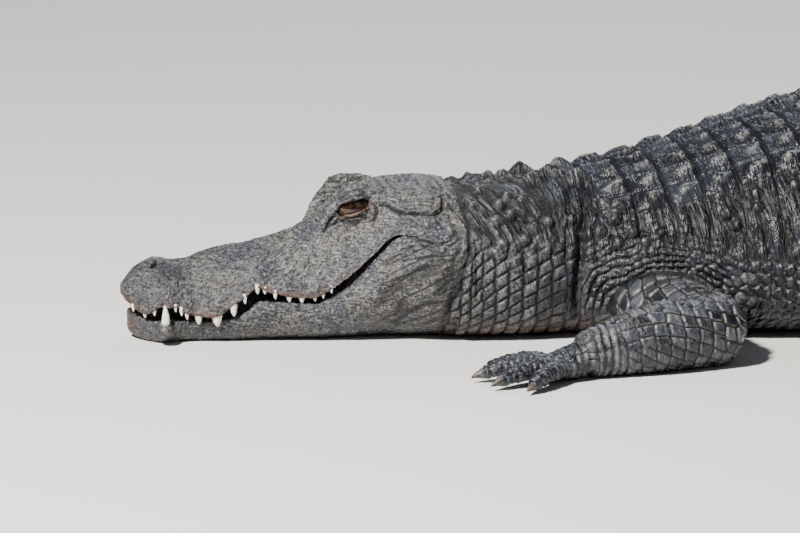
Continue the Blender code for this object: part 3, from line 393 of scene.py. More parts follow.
def loft(rings):
    """A closed form through rings of equal count: quads between rings, and a fan over each end ring."""
    rings = np.asarray(rings, float)
    rows, columns = rings.shape[:2]
    i, j = (v.ravel() for v in np.meshgrid(np.arange(rows - 1), np.arange(columns), indexing="ij"))
    k = (j + 1) % columns
    quads = np.stack([i * columns + j, i * columns + k, (i + 1) * columns + k, (i + 1) * columns + j], -1)
    first, last = np.arange(columns), (rows - 1) * columns + np.arange(columns)
    tip, end = rows * columns, rows * columns + 1
    fans = np.concatenate([np.stack([np.full(columns, tip), first, np.roll(first, -1)], -1)[:, ::-1],
                           np.stack([np.full(columns, end), last, np.roll(last, -1)], -1)])
    points = np.concatenate([rings.reshape(-1, 3), rings[0].mean(0)[None], rings[-1].mean(0)[None]])
    return points, quads.tolist() + fans.tolist()


def ball_form(middle, radius, scale=(1, 1, 1), rotation=None, rows=24, columns=40):
    """A sphere or ellipsoid as rings from pole to pole."""
    tilt = np.linspace(0.02, math.pi - 0.02, rows)[:, None]
    turn = np.arange(columns)[None] * 2 * math.pi / columns
    unit = np.broadcast_arrays(np.sin(tilt) * np.cos(turn), np.sin(tilt) * np.sin(turn), np.cos(tilt))
    local = np.stack(unit, -1) * radius * np.array(scale)
    if rotation:
        local = local @ np.array(rotation).T
    return loft(local + np.array(middle))


def frames_along(ways):
    """The level way and the upward way across each of a path's ways."""
    level = np.cross(ways, (0, 0, 1.0))
    level /= np.maximum(np.linalg.norm(level, axis=1), 1e-9)[:, None]
    return level, np.cross(level, ways)


def ways_along(path):
    """Unit ways along a path of points."""
    ways = np.gradient(path, axis=0)
    return ways / np.linalg.norm(ways, axis=1)[:, None]


def tube_form(path, radius, sides=16, flat=True):
    """A round tube along world points, its radius given at each, flattened where it would reach the floor."""
    path, radius = np.array(path, float), np.array(radius, float)
    level, rise = frames_along(ways_along(path))
    turn = (np.arange(sides) * 2 * math.pi / sides)[None, :, None]
    rings = path[:, None] + (np.cos(turn) * level[:, None] + np.sin(turn) * rise[:, None]) * radius[:, None, None]
    if flat:
        rings[..., 2] = np.maximum(rings[..., 2], 0)
    return loft(rings)


def joined(forms):
    """Several forms as one set of points and faces."""
    points, faces, start = [], [], 0
    for form_points, form_faces in forms:
        points.append(form_points)
        faces += [[i + start for i in face] for face in form_faces]
        start += len(form_points)
    return np.concatenate(points), faces


def plain_thing(name, points, faces):
    """A new object from points and faces, as they are."""
    data = bpy.data.meshes.new(name)
    data.from_pydata(points.tolist(), [], faces)
    thing = bpy.data.objects.new(name, data)
    bpy.context.scene.collection.objects.link(thing)
    return thing


def thing_from(name, points, faces):
    """A new object whose double points are merged and whose faces look outward."""
    thing = plain_thing(name, points, faces)
    mesh = bmesh.new()
    mesh.from_mesh(thing.data)
    bmesh.ops.remove_doubles(mesh, verts=mesh.verts, dist=1e-6)
    bmesh.ops.recalc_face_normals(mesh, faces=mesh.faces)
    mesh.to_mesh(thing.data)
    mesh.free()
    return thing


def read_rows(rows, key, width=1, kind=np.int32):
    """A value of every row of mesh data, as one array of so many columns."""
    values = np.empty(len(rows) * width, kind)
    rows.foreach_get(key, values)
    return values.reshape(-1, width)


def points_of(mesh):
    """All points of a mesh."""
    return read_rows(mesh.vertices, "co", 3, np.float32).astype(float)


def write_mark(mesh, key, value):
    """Stores one number for each point of a mesh, for its material to read."""
    mesh.attributes.new(key, "FLOAT", "POINT").data.foreach_set("value", value.astype(np.float32))


def evaluated(thing):
    """The mesh of an object once its modifiers have run; the object itself goes."""
    made = bpy.data.meshes.new_from_object(thing.evaluated_get(bpy.context.evaluated_depsgraph_get()))
    bpy.data.objects.remove(thing)
    return made


def carved(form, cutters):
    """A form with closed cutters taken out of it by one Boolean."""
    thing = thing_from("carved", *form)
    group = bpy.data.collections.new("carvers")
    bpy.context.scene.collection.children.link(group)
    for cutter in cutters:
        piece = thing_from("carver", *cutter)
        bpy.context.scene.collection.objects.unlink(piece)
        group.objects.link(piece)
    step = thing.modifiers.new("Carve", "BOOLEAN")
    step.operation, step.operand_type, step.collection, step.solver = "DIFFERENCE", "COLLECTION", group, "EXACT"
    data = evaluated(thing)
    for piece in list(group.objects):
        bpy.data.objects.remove(piece)
    bpy.data.collections.remove(group)
    return points_of(data), [list(face.vertices) for face in data.polygons]


def half_rings(stations, section):
    """Rings from half sections, each resampled evenly along its length and mirrored to the right side."""
    rings = []
    for s in stations:
        side, height = section(s)
        run = run_of(side, height)
        even = np.linspace(0, run[-1], RING_HALF)
        side, height = np.interp(even, run, side), np.maximum(np.interp(even, run, height), 0)
        rings.append(np.concatenate([place(s, side, height), place(s, -side[-2:0:-1], height[-2:0:-1])]))
    return rings


def head_section(s):
    """Crown, lip and palate of the upper head as one half section."""
    side, height = head_outline(s)
    dy, dz = np.gradient(side), np.gradient(height)
    length = np.maximum(np.hypot(dy, dz), 1e-9)
    lift = head_relief(s, side) * np.clip((height - mouth_height(s)) / CROWN_BLEND, 0, 1)
    side, height = np.maximum(side - dz / length * lift, 0), height + dy / length * lift
    side[0] = 0.0
    share = np.linspace(1, 0, MOUTH_POINTS)[1:]
    arch = PALATE_ARCH * snout_round(s, SNOUT_ROUND) * (1 - share**2)
    return np.concatenate([side, side[-1] * share]), np.concatenate([height, height[-1] + arch])


def jaw_section(s):
    """Mouth floor, jaw side and chin as one half section."""
    side, height = jaw_outline(s)
    share = np.linspace(0, 1, MOUTH_POINTS)[:-1]
    return np.concatenate([side[0] * share, side]), np.concatenate([np.full(len(share), height[0]), height])


def limb_path(joints, thickness, stations, hand):
    """Points, ways and half thicknesses along a limb length; the path is smooth through its joints."""
    knots, at = np.linspace(0, 1, len(joints)), np.linspace(0, 1, stations)
    s, side, height = curve_through(knots, joints, at).T
    points = place(s, hand * side, height)
    return points, ways_along(points), curve_through(knots, thickness, at)


def limb_form(joints, thickness, hand, stations=26):
    """Oval rings along a limb length, each end rounded off by a half ellipsoid."""
    points, ways, thick = limb_path(joints, thickness, stations, hand)
    start = [points[0] - ways[0] * thick[0, 0] * CAP_SHARE * math.sin(t) for t in CAP_TURNS]
    end = [points[-1] + ways[-1] * thick[-1, 0] * CAP_SHARE * math.sin(t) for t in CAP_TURNS[::-1]]
    points = np.concatenate([start, points, end])
    ways = np.concatenate([np.repeat(ways[:1], len(start), 0), ways, np.repeat(ways[-1:], len(end), 0)])
    cap = np.cos(CAP_TURNS)[:, None]
    thick = np.concatenate([thick[:1] * cap, thick, thick[-1:] * cap[::-1]])
    level, rise = frames_along(ways)
    turn = (np.arange(LIMB_ROUND) * 2 * math.pi / LIMB_ROUND)[None, :, None]
    rings = (points[:, None] + np.cos(turn) * level[:, None] * thick[:, None, :1]
             + np.sin(turn) * rise[:, None] * thick[:, None, 1:])
    rings[..., 2] = np.maximum(rings[..., 2], 0)
    return loft(rings)


def paw_plan(spec, hand, toes, sole):
    """Where a hand or foot lies: its middle, the way ahead, the way across, and each toe's root and way."""
    s, side, height, facing = spec
    length, half, _ = sole
    middle = Vector(place(s, hand * side, height))
    turn, angle = np.interp(s, SPINE_S, SPINE_TURN), math.radians(facing)

    def way(spread):
        """Unit way on the floor, turned from the paw's facing by a spread in degrees."""
        a = angle + math.radians(spread)
        return Vector((*floor_way(turn, math.cos(a), math.sin(a) * hand), 0))

    ahead = way(0)
    across = Vector((0, 0, 1)).cross(ahead)
    roots = []
    for i, (spread, _, fat, _) in enumerate(toes):
        aside = across * half * 0.78 * hand * (2 * i / (len(toes) - 1) - 1)
        root = middle + ahead * length * TOE_ROOT_SHARE - aside
        root.z = fat * 1.25
        roots.append((root, way(spread).normalized()))
    return middle, ahead, across, roots


def toe_path(root, way, length, thick, count=22):
    """A toe's middle line, arched from the foot down to the floor, and its radius with swollen joints."""
    share = np.linspace(0, 1, count)
    arch = np.sin(math.pi * np.clip(share * 0.9, 0, 1)) * length * 0.07
    drop = arch + thick * 0.36 * (1 - share) - root.z * share + thick * 0.75 * share
    points = np.array(root)[None] + np.array(way)[None] * (length * share)[:, None]
    points[:, 2] += drop
    joints = 0.07 * np.cos(share * 2 * math.pi * 3.0)
    slim = np.interp(share, [0, 0.4, 0.75, 0.95, 1.0], [1.05, 1.0, 0.9, 0.66, 0.45])
    return points, thick * (slim + joints * (share < 0.9))


def paw_forms(spec, hand, toes, sole):
    """The palm or sole as oval rings, and a tube for each toe."""
    length, half, thick = sole
    middle, ahead, across, roots = paw_plan(spec, hand, toes, sole)
    stations = np.linspace(-0.25, 1, 16)
    wide = np.interp(stations, np.linspace(-0.25, 1, 6), (0.45, 0.85, 0.98, 1.06, 1.04, 0.70))
    tall = np.interp(stations, np.linspace(-0.25, 1, 6), (0.45, 1.0, 0.98, 0.84, 0.68, 0.40))
    rings = []
    turn = np.arange(LIMB_ROUND) * 2 * math.pi / LIMB_ROUND
    for share, w, t in zip(stations, wide, tall):
        centre = np.array(middle + ahead * length * share)
        centre[2] = max(middle.z * (1 - share * 0.5), thick * t * 0.72)
        level, rise = np.cos(turn)[:, None] * np.array(across), np.sin(turn)[:, None]
        ring = centre + level * half * w + rise * (0, 0, thick * t)
        ring[:, 2] = np.maximum(ring[:, 2], 0)
        rings.append(ring)
    forms = [loft(rings)]
    for (root, way), (_, long, fat, _) in zip(roots, toes):
        forms.append(tube_form(*toe_path(root, way, long, fat)))
    return forms


# Half thickness across and up at the three joints of each length, then the toes and the palm or sole
ARM = (((0.068, 0.048), (0.062, 0.045), (0.049, 0.045)), ((0.046, 0.046), (0.043, 0.046), (0.029, 0.031)),
    HAND_TOES, HAND_PALM)
LEG = (((0.078, 0.084), (0.072, 0.07), (0.054, 0.056)), ((0.05, 0.054), (0.048, 0.052), (0.03, 0.034)),
    FOOT_TOES, FOOT_SOLE)
# Joints of the upper and lower length as (s, sideways, height); the hand or foot as (s, sideways, height, facing)
LIMBS = {
    "arm_left": (((0.712, 0.105, 0.054), (0.724, 0.215, 0.047), (0.748, 0.300, 0.046)),
                 ((0.750, 0.312, 0.046), (0.668, 0.335, 0.046), (0.568, 0.352, 0.032)),
                 (0.560, 0.353, 0.026, 178.0), 1, ARM),
    "arm_right": (((0.712, 0.105, 0.054), (0.718, 0.215, 0.047), (0.734, 0.298, 0.046)),
                  ((0.736, 0.308, 0.046), (0.658, 0.345, 0.046), (0.563, 0.385, 0.032)),
                  (0.555, 0.388, 0.026, 162.0), -1, ARM),
    "leg_left": (((1.505, 0.075, 0.135), (1.445, 0.190, 0.110), (1.375, 0.275, 0.078)),
                 ((1.372, 0.285, 0.064), (1.440, 0.325, 0.058), (1.525, 0.365, 0.036)),
                 (1.530, 0.372, 0.030, 146.0), 1, LEG),
    "leg_right": (((1.505, 0.075, 0.135), (1.455, 0.195, 0.110), (1.392, 0.282, 0.078)),
                  ((1.389, 0.292, 0.064), (1.468, 0.318, 0.058), (1.560, 0.352, 0.036)),
                  (1.566, 0.358, 0.030, 152.0), -1, LEG),
}


def limb_lengths(name):
    """The joints and half thicknesses of a limb's upper and of its lower length."""
    upper, lower, _, _, kind = LIMBS[name]
    return (upper, kind[0]), (lower, kind[1])


def paw_of(name):
    """A limb's hand or foot, its side, its toes and its palm or sole."""
    return LIMBS[name][2], LIMBS[name][3], *LIMBS[name][4][2:]


def limb_forms(name):
    """All plain forms of a limb."""
    paw = paw_of(name)
    return [*(limb_form(*length, paw[1]) for length in limb_lengths(name)), *paw_forms(*paw)]


def eye_look(hand):
    """Unit way that an eye looks."""
    return np.array(head_direction((EYE_LOOK[0], hand * EYE_LOOK[1], EYE_LOOK[2])).normalized())


def lid_frame(hand):
    """Rotation of the opening between the lids: along it, across it and out of it."""
    look = Vector(eye_look(hand))
    tilt = math.radians(EYE_OPENING_TILT)
    along = head_direction((math.cos(tilt), 0, math.sin(tilt)))
    across = look.cross(along).normalized()
    return Matrix((across.cross(look).normalized(), across, look)).transposed()


def eye_opening(hand):
    """The almond between the lids, an ellipsoid that pokes out along the eye's look, its rear corner higher."""
    frame_of_lids = lid_frame(hand)
    along = np.array(frame_of_lids.col[0])
    middle = np.array(eye_place(hand)) + eye_look(hand) * LID_RADIUS - along * EYE_OPENING_FORWARD
    return ball_form(middle, 1.0, EYE_OPENING, frame_of_lids)


def lid_rolls(hand):
    """Soft rolls along the lids: tubes on the lid ball beside the almond, v = +-(b sqrt(1 - (u/a)^2) + rise)."""
    along, across, look = (np.array(lid_frame(hand).col[i]) for i in range(3))
    up = 1 if across[2] > 0 else -1
    u = np.linspace(-0.029, 0.023, 24)
    slim = [0.45 + 0.55 * math.sin(math.pi * k / 23) for k in range(24)]
    almond = EYE_OPENING[1] * np.sqrt(np.clip(1 - ((u + EYE_OPENING_FORWARD) / EYE_OPENING[0]) ** 2, 0, 1))
    rolls = []
    for way, rise, thick in ((up, 0.0030, 0.0036), (-up, 0.0020, 0.0024)):
        v = way * (almond + rise)
        rays = look * LID_RADIUS + u[:, None] * along + v[:, None] * across
        path = np.array(eye_place(hand)) + rays / np.linalg.norm(rays, axis=1)[:, None] * (LID_RADIUS + 0.0004)
        rolls.append(tube_form(path, [thick * share for share in slim], 14, flat=False))
    return rolls


def nostril_form(hand):
    """An ellipsoid that opens one nostril, turned outward toward the front."""
    s, side, length, width, depth = NOSTRIL
    outline = head_outline(s)
    top = float(np.interp(side, outline[0][:60], outline[1][:60])) + float(head_relief(s, np.array([side]))[0])
    turn = math.radians(hand * NOSTRIL_TURN)
    along = head_direction((math.cos(turn), -math.sin(turn), 0))
    frame_of_slit = Matrix((along, Vector((0, 0, 1)).cross(along), Vector((0, 0, 1)))).transposed()
    return ball_form(place(s, hand * side, top), 1.0, (length, width, depth), frame_of_slit, 16, 24)


HEAD_CUT = HEAD_END + 0.012


def around_eye(hand):
    """What is taken out of the lids: the almond between them and the ball of the eye."""
    return [eye_opening(hand), ball_form(eye_place(hand), EYE_RADIUS + 2 * GAP)]


def head_forms():
    """Upper head and jaw, the lids, the brow ridges and the gum round each lower fang."""
    tip = np.array([0.0008, 0.002, 0.004, 0.007, 0.011])
    stations = np.concatenate([tip, np.arange(0.016, HEAD_CUT, 0.004)])
    jaw_stations = np.concatenate([JAW_TIP_S + tip, np.arange(JAW_TIP_S + 0.015, HEAD_CUT, 0.005)])
    head, jaw = loft(half_rings(stations, head_section)), loft(half_rings(jaw_stations, jaw_section))
    s, _, width = LOWER_FANG
    gum_side, gum_height = float(lip_half(s)) - 0.0005, float(jaw_outline(s)[1][0]) - 0.009
    cutters, lids, gums, ridges = [], [], [], []
    for hand in (1, -1):
        lids.append(carved(ball_form(eye_place(hand), LID_RADIUS), around_eye(hand)))
        cutters += [*around_eye(hand), nostril_form(hand)]
        gums.append(ball_form(place(s, hand * gum_side, gum_height), 1.0, (width * 0.85, width * 0.72, 0.0105)))
    for hand in (1, -1):
        line = np.array([place(s, hand * side, height) for s, side, height, _ in BROW_RIDGE])
        for ridge in (tube_form(line, [row[3] for row in BROW_RIDGE], 20, flat=False), *lid_rolls(hand)):
            ridges.append(carved(ridge, around_eye(hand)))
    return [carved(head, cutters), jaw, *lids, *gums, *ridges]


def body_form(start, end, step=0.006):
    """Neck, trunk or tail from one place to another."""
    return loft(half_rings(np.arange(start, end, step), body_outline))


def remeshed(name, forms, voxel):
    """One closed skin over forms that run into each other: its points, quads and edges."""
    thing = plain_thing(name, *joined(forms))
    step = thing.modifiers.new("Skin", "REMESH")
    step.mode, step.voxel_size, step.adaptivity = "VOXEL", voxel, 0.0
    made = evaluated(thing)
    quads = read_rows(made.loops, "vertex_index").reshape(-1, 4)
    skin = points_of(made), quads, read_rows(made.edges, "vertices", 2)
    bpy.data.meshes.remove(made)
    return skin


def relaxed(co, edges, share, rounds):
    """Points drawn toward the mean of their neighbours, each by its own share, a number of rounds."""
    a, b = edges.T
    count = np.bincount(a, minlength=len(co)) + np.bincount(b, minlength=len(co))
    for _ in range(rounds):
        total = [np.bincount(a, axis[b], len(co)) + np.bincount(b, axis[a], len(co)) for axis in co.T]
        co = co + (np.stack(total, -1) / count[:, None] - co) * share[:, None]
    return co


def spread(value, edges, rounds):
    """A value evened out over neighbours."""
    a, b = edges.T
    count = np.bincount(a, minlength=len(value)) + np.bincount(b, minlength=len(value)) + 1
    for _ in range(rounds):
        value = (value + np.bincount(a, value[b], len(value)) + np.bincount(b, value[a], len(value))) / count
    return value


def point_normals(co, quads):
    """Outward direction at each point: the sum of its faces' normals."""
    normal = np.cross(co[quads[:, 2]] - co[quads[:, 0]], co[quads[:, 3]] - co[quads[:, 1]])
    total = [sum(np.bincount(corner, axis, len(co)) for corner in quads.T) for axis in normal.T]
    total = np.stack(total, -1)
    return total / np.maximum(np.linalg.norm(total, axis=1), 1e-12)[:, None]


def along_spine(co):
    """Each point's s and sideways distance, found by walking to the spine's nearest place."""
    def seen_from(s):
        """Offset from the spine's place at s, and the cosine and sine of its turn there."""
        x, y, turn = (np.interp(s, SPINE_S, v) for v in (SPINE_X, SPINE_Y, SPINE_TURN))
        return co[:, 0] - x, co[:, 1] - y, np.cos(turn), np.sin(turn)

    s = np.interp(co[:, 0], SPINE_X, SPINE_S)
    for _ in range(7):
        x, y, cosine, sine = seen_from(s)
        s = np.clip(s + x * cosine + y * sine, -0.05, TOTAL_LENGTH + 0.05)
    x, y, cosine, sine = seen_from(s)
    return s, x * sine - y * cosine


def waist_height(s):
    """Height at which the body is widest."""
    return hermite(BODY_TOP, s) * hermite(WAIST_SHARE, s)


ARC_STATIONS = np.linspace(0.40, TOTAL_LENGTH, 240)
ARC_TURNS = np.linspace(-math.pi / 2, math.pi / 2, 121)


def arc_tables():
    """For each station and each turn about the waist, the arc from the back and the section's reach."""
    arcs, reach, whole = [], [], []
    for s in ARC_STATIONS:
        side, height = body_outline(s)
        waist = float(waist_height(s))
        run = run_of(side, height)
        turn = np.arctan2(height - waist, side)[::-1]
        arcs.append(np.interp(ARC_TURNS, turn, run[::-1]))
        reach.append(np.interp(ARC_TURNS, turn, np.hypot(side, height - waist)[::-1]))
        whole.append(run[-1])
    return np.array(arcs), np.array(reach), np.array(whole)


ARC_TABLE, REACH_TABLE, WHOLE_ARC = arc_tables()


def from_table(table, s, turn):
    """Value between a table's rows and columns."""
    i = np.clip((s - ARC_STATIONS[0]) / (ARC_STATIONS[1] - ARC_STATIONS[0]), 0, len(ARC_STATIONS) - 1.001)
    j = np.clip((turn - ARC_TURNS[0]) / (ARC_TURNS[1] - ARC_TURNS[0]), 0, len(ARC_TURNS) - 1.001)
    a, b = i.astype(int), j.astype(int)
    u, v = i - a, j - b
    return ((table[a, b] * (1 - v) + table[a, b + 1] * v) * (1 - u)
            + (table[a + 1, b] * (1 - v) + table[a + 1, b + 1] * v) * u)


def hashed(seed, *whole):
    """A repeatable value from 0 to 1 for each set of whole numbers."""
    h = np.int64(seed) * 974634777
    for value, prime in zip(whole, (374761393, 668265263, 2147483629)):
        h = h + value.astype(np.int64) * prime
    h = h & 0xFFFFFFFF
    h = ((h ^ (h >> 13)) * 1274126177) & 0xFFFFFFFF
    return ((h ^ (h >> 16)) & 0xFFFFFF) / 0xFFFFFF


def noise(seed, *place_in):
    """Smooth noise from 0 to 1: values at the corners of a lattice, blended by 3t² - 2t³."""
    whole = [np.floor(v) for v in place_in]
    part = [(v - w) for v, w in zip(place_in, whole)]
    part = [p * p * (3 - 2 * p) for p in part]
    total = 0.0
    for corner in range(2 ** len(place_in)):
        bits = [(corner >> k) & 1 for k in range(len(place_in))]
        weight = 1.0
        for bit, p in zip(bits, part):
            weight = weight * (p if bit else 1 - p)
        total = total + weight * hashed(seed, *[w + bit for w, bit in zip(whole, bits)])
    return total


def wrinkle(seed, x, y, width=0.09):
    """Meandering lines where a noise passes its middle value: 1 on a line and 0 away from it."""
    return np.exp(-(((noise(seed, x, y) - 0.5) / width) ** 2))


def scales(seed, u, v, jitter, stagger=0.5):
    """Scales as the cells round jittered lattice places, in lattice steps.

    Gives the distance to the nearest border, a value for each scale, and the place in the scale.
    """
    row = np.floor(v)
    best = np.full(u.shape, 99.0)
    first = [np.zeros(u.shape) for _ in range(3)]
    kept = []
    for dj in (-1, 0, 1):
        r = row + dj
        shift = stagger * np.mod(r, 2)
        column = np.floor(u - shift)
        for di in (-1, 0, 1):
            c = column + di
            x = c + 0.5 + shift + jitter * (hashed(seed, c, r) - 0.5)
            y = r + 0.5 + jitter * (hashed(seed + 1, c, r) - 0.5)
            far = (u - x) ** 2 + (v - y) ** 2
            kept.append((x, y, far))
            near = far < best
            best = np.where(near, far, best)
            first = [np.where(near, new, old) for new, old in zip((x, y, hashed(seed + 2, c, r)), first)]
    edge = np.full(u.shape, 9.0)
    for x, y, far in kept:
        apart = np.hypot(x - first[0], y - first[1])
        edge = np.where(apart > 1e-6, np.minimum(edge, (far - best) / (2 * np.maximum(apart, 1e-6))), edge)
    return edge, first[2], u - first[0], v - first[1]


def near_path(co, path, reach):
    """Distance from each point to a path of world points, up to a reach, and the share of the way along it."""
    path = np.asarray(path, float)
    far, share = np.full(len(co), float(reach)), np.zeros(len(co))
    inside = np.all((co > path.min(0) - reach) & (co < path.max(0) + reach), axis=1)
    points = co[inside]
    best, at = np.full(len(points), float(reach)), np.zeros(len(points))
    run = run_along(path)
    for k, (start, way) in enumerate(zip(path[:-1], np.diff(path, axis=0))):
        t = np.clip(((points - start) @ way) / max(way @ way, 1e-12), 0, 1)
        distance = np.linalg.norm(points - start - t[:, None] * way, axis=1)
        near = distance < best
        best = np.where(near, distance, best)
        at = np.where(near, (run[k] + t * (run[k + 1] - run[k])) / run[-1], at)
    far[inside], share[inside] = best, at
    return far, share


def limb_coordinates(co, name):
    """For each point: way along the limb, turn round it, its local radius, how far it lies off the limb's plain
    form, and which length it belongs to (0 upper, 1 lower, 2 palm, 3 and up the toes)."""
    spec, hand, toes, sole = paw_of(name)
    length, half, thick = sole
    middle, ahead, _, roots = paw_plan(spec, hand, toes, sole)
    rows = [limb_path(*part, LIMB_STATIONS, hand) for part in limb_lengths(name)]
    share = np.linspace(0, 1, PAW_STATIONS)
    palm = np.array(middle)[None] + np.array(ahead)[None] * length * share[:, None]
    palm[:, 2] = middle.z * (1 - share * 0.4)
    tall = np.interp(share, (0, 0.5, 1), (1.0, 0.84, 0.45)) * thick
    wide = np.full(len(share), half)
    rows.append((palm, np.broadcast_to(np.array(ahead), palm.shape), np.stack([wide, tall], -1)))
    for (root, way), (_, long, fat, _) in zip(roots, toes):
        points, radius = toe_path(root, way, long, fat, TOE_STATIONS)
        rows.append((points, ways_along(points), np.stack([radius, radius], -1)))
    run, starts = 0.0, []
    for k, (points, _, _) in enumerate(rows):
        along = run_along(points)
        starts.append((run if k < 3 else starts[2][0] + length * TOE_ROOT_SHARE) + along)
        if k < 2:
            run = run + along[-1]
    points, ways, sizes = (np.concatenate(column) for column in zip(*rows))
    along = np.concatenate(starts)
    part = np.concatenate([np.full(len(row[0]), k) for k, row in enumerate(rows)])
    level, rise = frames_along(ways)
    round_size = np.sqrt(sizes[:, 0] * sizes[:, 1])
    inside = np.all((co > points.min(0) - LIMB_REACH) & (co < points.max(0) + LIMB_REACH), axis=1)
    here = co[inside]
    near = np.zeros(len(here), int)
    for start in range(0, len(here), BLOCK):
        some = slice(start, start + BLOCK)
        squared = (here[some] ** 2).sum(1)[:, None] + (points**2).sum(1)[None] - 2 * here[some] @ points.T
        near[some] = np.argmin(np.sqrt(np.maximum(squared, 0)) - round_size[None], axis=1)
    offset = here - points[near]
    a, b, w = ((offset * axis[near]).sum(1) for axis in (level, rise, ways))
    wide, high = sizes[near].T
    ratio = np.sqrt((a / wide) ** 2 + (b / high) ** 2 + (w / (CAP_SHARE * wide)) ** 2)
    round_size = round_size[near]
    found = (along[near] + w, np.arctan2(b, a * hand), round_size, (ratio - 1) * round_size, part[near])
    full = [np.full(len(co), value) for value in (0.0, 0.0, 0.05, 1.0, 0)]
    for column, value in zip(full, found):
        column[inside] = value
    return full


# Creases on the left side: places as (s, side, height), then depth, width and the strength of the painted shade in
# the cut; without a side the place is taken on the head's or jaw's wall
CREASES = {
    "neck fold": (((0.631, 0.046, 0.211), (0.623, 0.094, 0.186), (0.612, 0.127, 0.151), (0.605, 0.141, 0.113),
        (0.6, 0.143, 0.072), (0.602, 0.127, 0.027)), 0.008, 0.006, 1.0),
    "second neck fold": (((0.612, 0.04, 0.207), (0.598, 0.09, 0.18), (0.59, 0.12, 0.15), (0.583, 0.14, 0.11)),
        0.0035, 0.003, 0.9),
    "jaw bulge dark": (((0.338, None, 0.066), (0.356, None, 0.081), (0.378, None, 0.096), (0.404, None, 0.11),
        (0.428, None, 0.117)), 0.0028, 0.0052, 0.42),
    "jaw bulge top": (((0.352, None, 0.111), (0.372, None, 0.119), (0.408, None, 0.124), (0.44, None, 0.126)),
        0.0014, 0.0016, 0.75),
    "jaw step": (((0.445, None, 0.11), (0.44, None, 0.086), (0.432, None, 0.063), (0.421, None, 0.04)), 0.0022,
        0.0028, 0.7),
    "behind the ear": (((0.436, 0.074, 0.193), (0.444, 0.092, 0.18), (0.451, 0.108, 0.169), (0.462, 0.124,
        0.154), (0.47, 0.136, 0.13)), 0.0022, 0.0017, 0.85),
    "behind the ear again": (((0.448, 0.04, 0.2), (0.454, 0.078, 0.19), (0.467, 0.102, 0.177), (0.478, 0.122,
        0.155)), 0.0022, 0.0017, 0.85),
    "nape": (((0.45, 0.006, 0.2), (0.462, 0.03, 0.199), (0.474, 0.058, 0.196), (0.486, 0.09, 0.186)), 0.002,
        0.0017, 0.8),
    "jaw rear": (((0.461, 0.021, 0.199), (0.457, 0.09, 0.185), (0.46, 0.119, 0.163), (0.46, 0.133, 0.138),
        (0.453, 0.144, 0.113), (0.447, 0.144, 0.086), (0.435, 0.136, 0.057), (0.426, 0.112, 0.029)), 0.004,
        0.0034, 0.9),
    "ear flap": (((0.339, 0.068, 0.188), (0.356, 0.075, 0.186), (0.369, 0.085, 0.179), (0.389, 0.09, 0.175),
        (0.416, 0.094, 0.173), (0.429, 0.092, 0.178), (0.433, 0.08, 0.19), (0.432, 0.061, 0.199)), 0.0042,
        0.0024, 1.0),
    "mouth corner": (((0.346, None, 0.1395), (0.355, None, 0.1462), (0.364, None, 0.1508), (0.376, None, 0.151),
        (0.398, None, 0.1465), (0.419, None, 0.14)), 0.003, 0.0018, 1.0),
    "second lip fold": (((0.362, None, 0.128), (0.372, None, 0.1355), (0.395, None, 0.1385), (0.417, None,
        0.134)), 0.0014, 0.0015, 0.7),
    "corner fold": (((0.415, None, 0.139), (0.434, None, 0.146), (0.442, None, 0.155), (0.439, None, 0.165)),
        0.002, 0.0018, 0.8),
    "corner fold behind": (((0.428, None, 0.136), (0.446, None, 0.146), (0.452, None, 0.158)), 0.0016, 0.0015,
        0.7),
    "cheek fold": (((0.405, None, 0.118), (0.425, None, 0.121), (0.44, None, 0.116)), 0.001, 0.0022, 0.3),
    "cheek fold below": (((0.335, None, 0.052), (0.36, None, 0.066), (0.385, None, 0.082), (0.402, None,
        0.086)), 0.0014, 0.0042, 0.22),
    "jowl fold": (((0.29, None, 0.026), (0.302, None, 0.038), (0.312, None, 0.058)), 0.0012, 0.0036, 0.25),
    "eye front": (((0.291, 0.064, 0.17), (0.283, 0.06, 0.163), (0.278, 0.057, 0.156), (0.275, 0.057, 0.148)),
        0.003, 0.0022, 1.0),
    "eye rear crescent": (((0.337, 0.068, 0.19), (0.343, 0.075, 0.182), (0.342, 0.08, 0.173), (0.334, 0.083,
        0.165)), 0.0026, 0.0022, 1.0),
    "under the lid": (((0.295, 0.072, 0.168), (0.308, 0.08, 0.171), (0.322, 0.083, 0.172), (0.334, 0.08,
        0.171)), 0.0014, 0.0015, 0.9),
    "brow": (((0.296, 0.058, 0.184), (0.306, 0.062, 0.196), (0.32, 0.062, 0.203), (0.334, 0.058, 0.2)), 0.0012,
        0.0015, 0.8),
}
# Round knobs on the left side of neck and shoulder: place, reach and height
KNOBS = ((0.486, 0.053, 0.198, 0.01, 0.005), (0.506, 0.093, 0.187, 0.011, 0.007), (0.517, 0.112, 0.175, 0.012,
    0.008), (0.497, 0.119, 0.169, 0.012, 0.007), (0.471, 0.09, 0.186, 0.009, 0.004), (0.544, 0.129, 0.159,
    0.012, 0.008), (0.531, 0.137, 0.145, 0.013, 0.008), (0.566, 0.123, 0.165, 0.011, 0.006), (0.595, 0.12,
    0.168, 0.012, 0.007), (0.616, 0.129, 0.146, 0.012, 0.008), (0.634, 0.133, 0.15, 0.011, 0.007), (0.644, 0.11,
    0.185, 0.011, 0.006), (0.654, 0.132, 0.167, 0.012, 0.007), (0.656, 0.146, 0.136, 0.011, 0.006), (0.519,
    0.145, 0.115, 0.014, 0.006), (0.54, 0.149, 0.118, 0.014, 0.006), (0.501, 0.139, 0.139, 0.012, 0.005),
    (0.493, 0.141, 0.129, 0.011, 0.005), (0.562, 0.146, 0.135, 0.012, 0.006), (0.52, 0.075, 0.195, 0.01, 0.006),
    (0.54, 0.083, 0.192, 0.011, 0.006), (0.676, 0.15, 0.15, 0.01, 0.006), (0.69, 0.16, 0.14, 0.01, 0.005),
    (0.673, 0.128, 0.185, 0.01, 0.005))
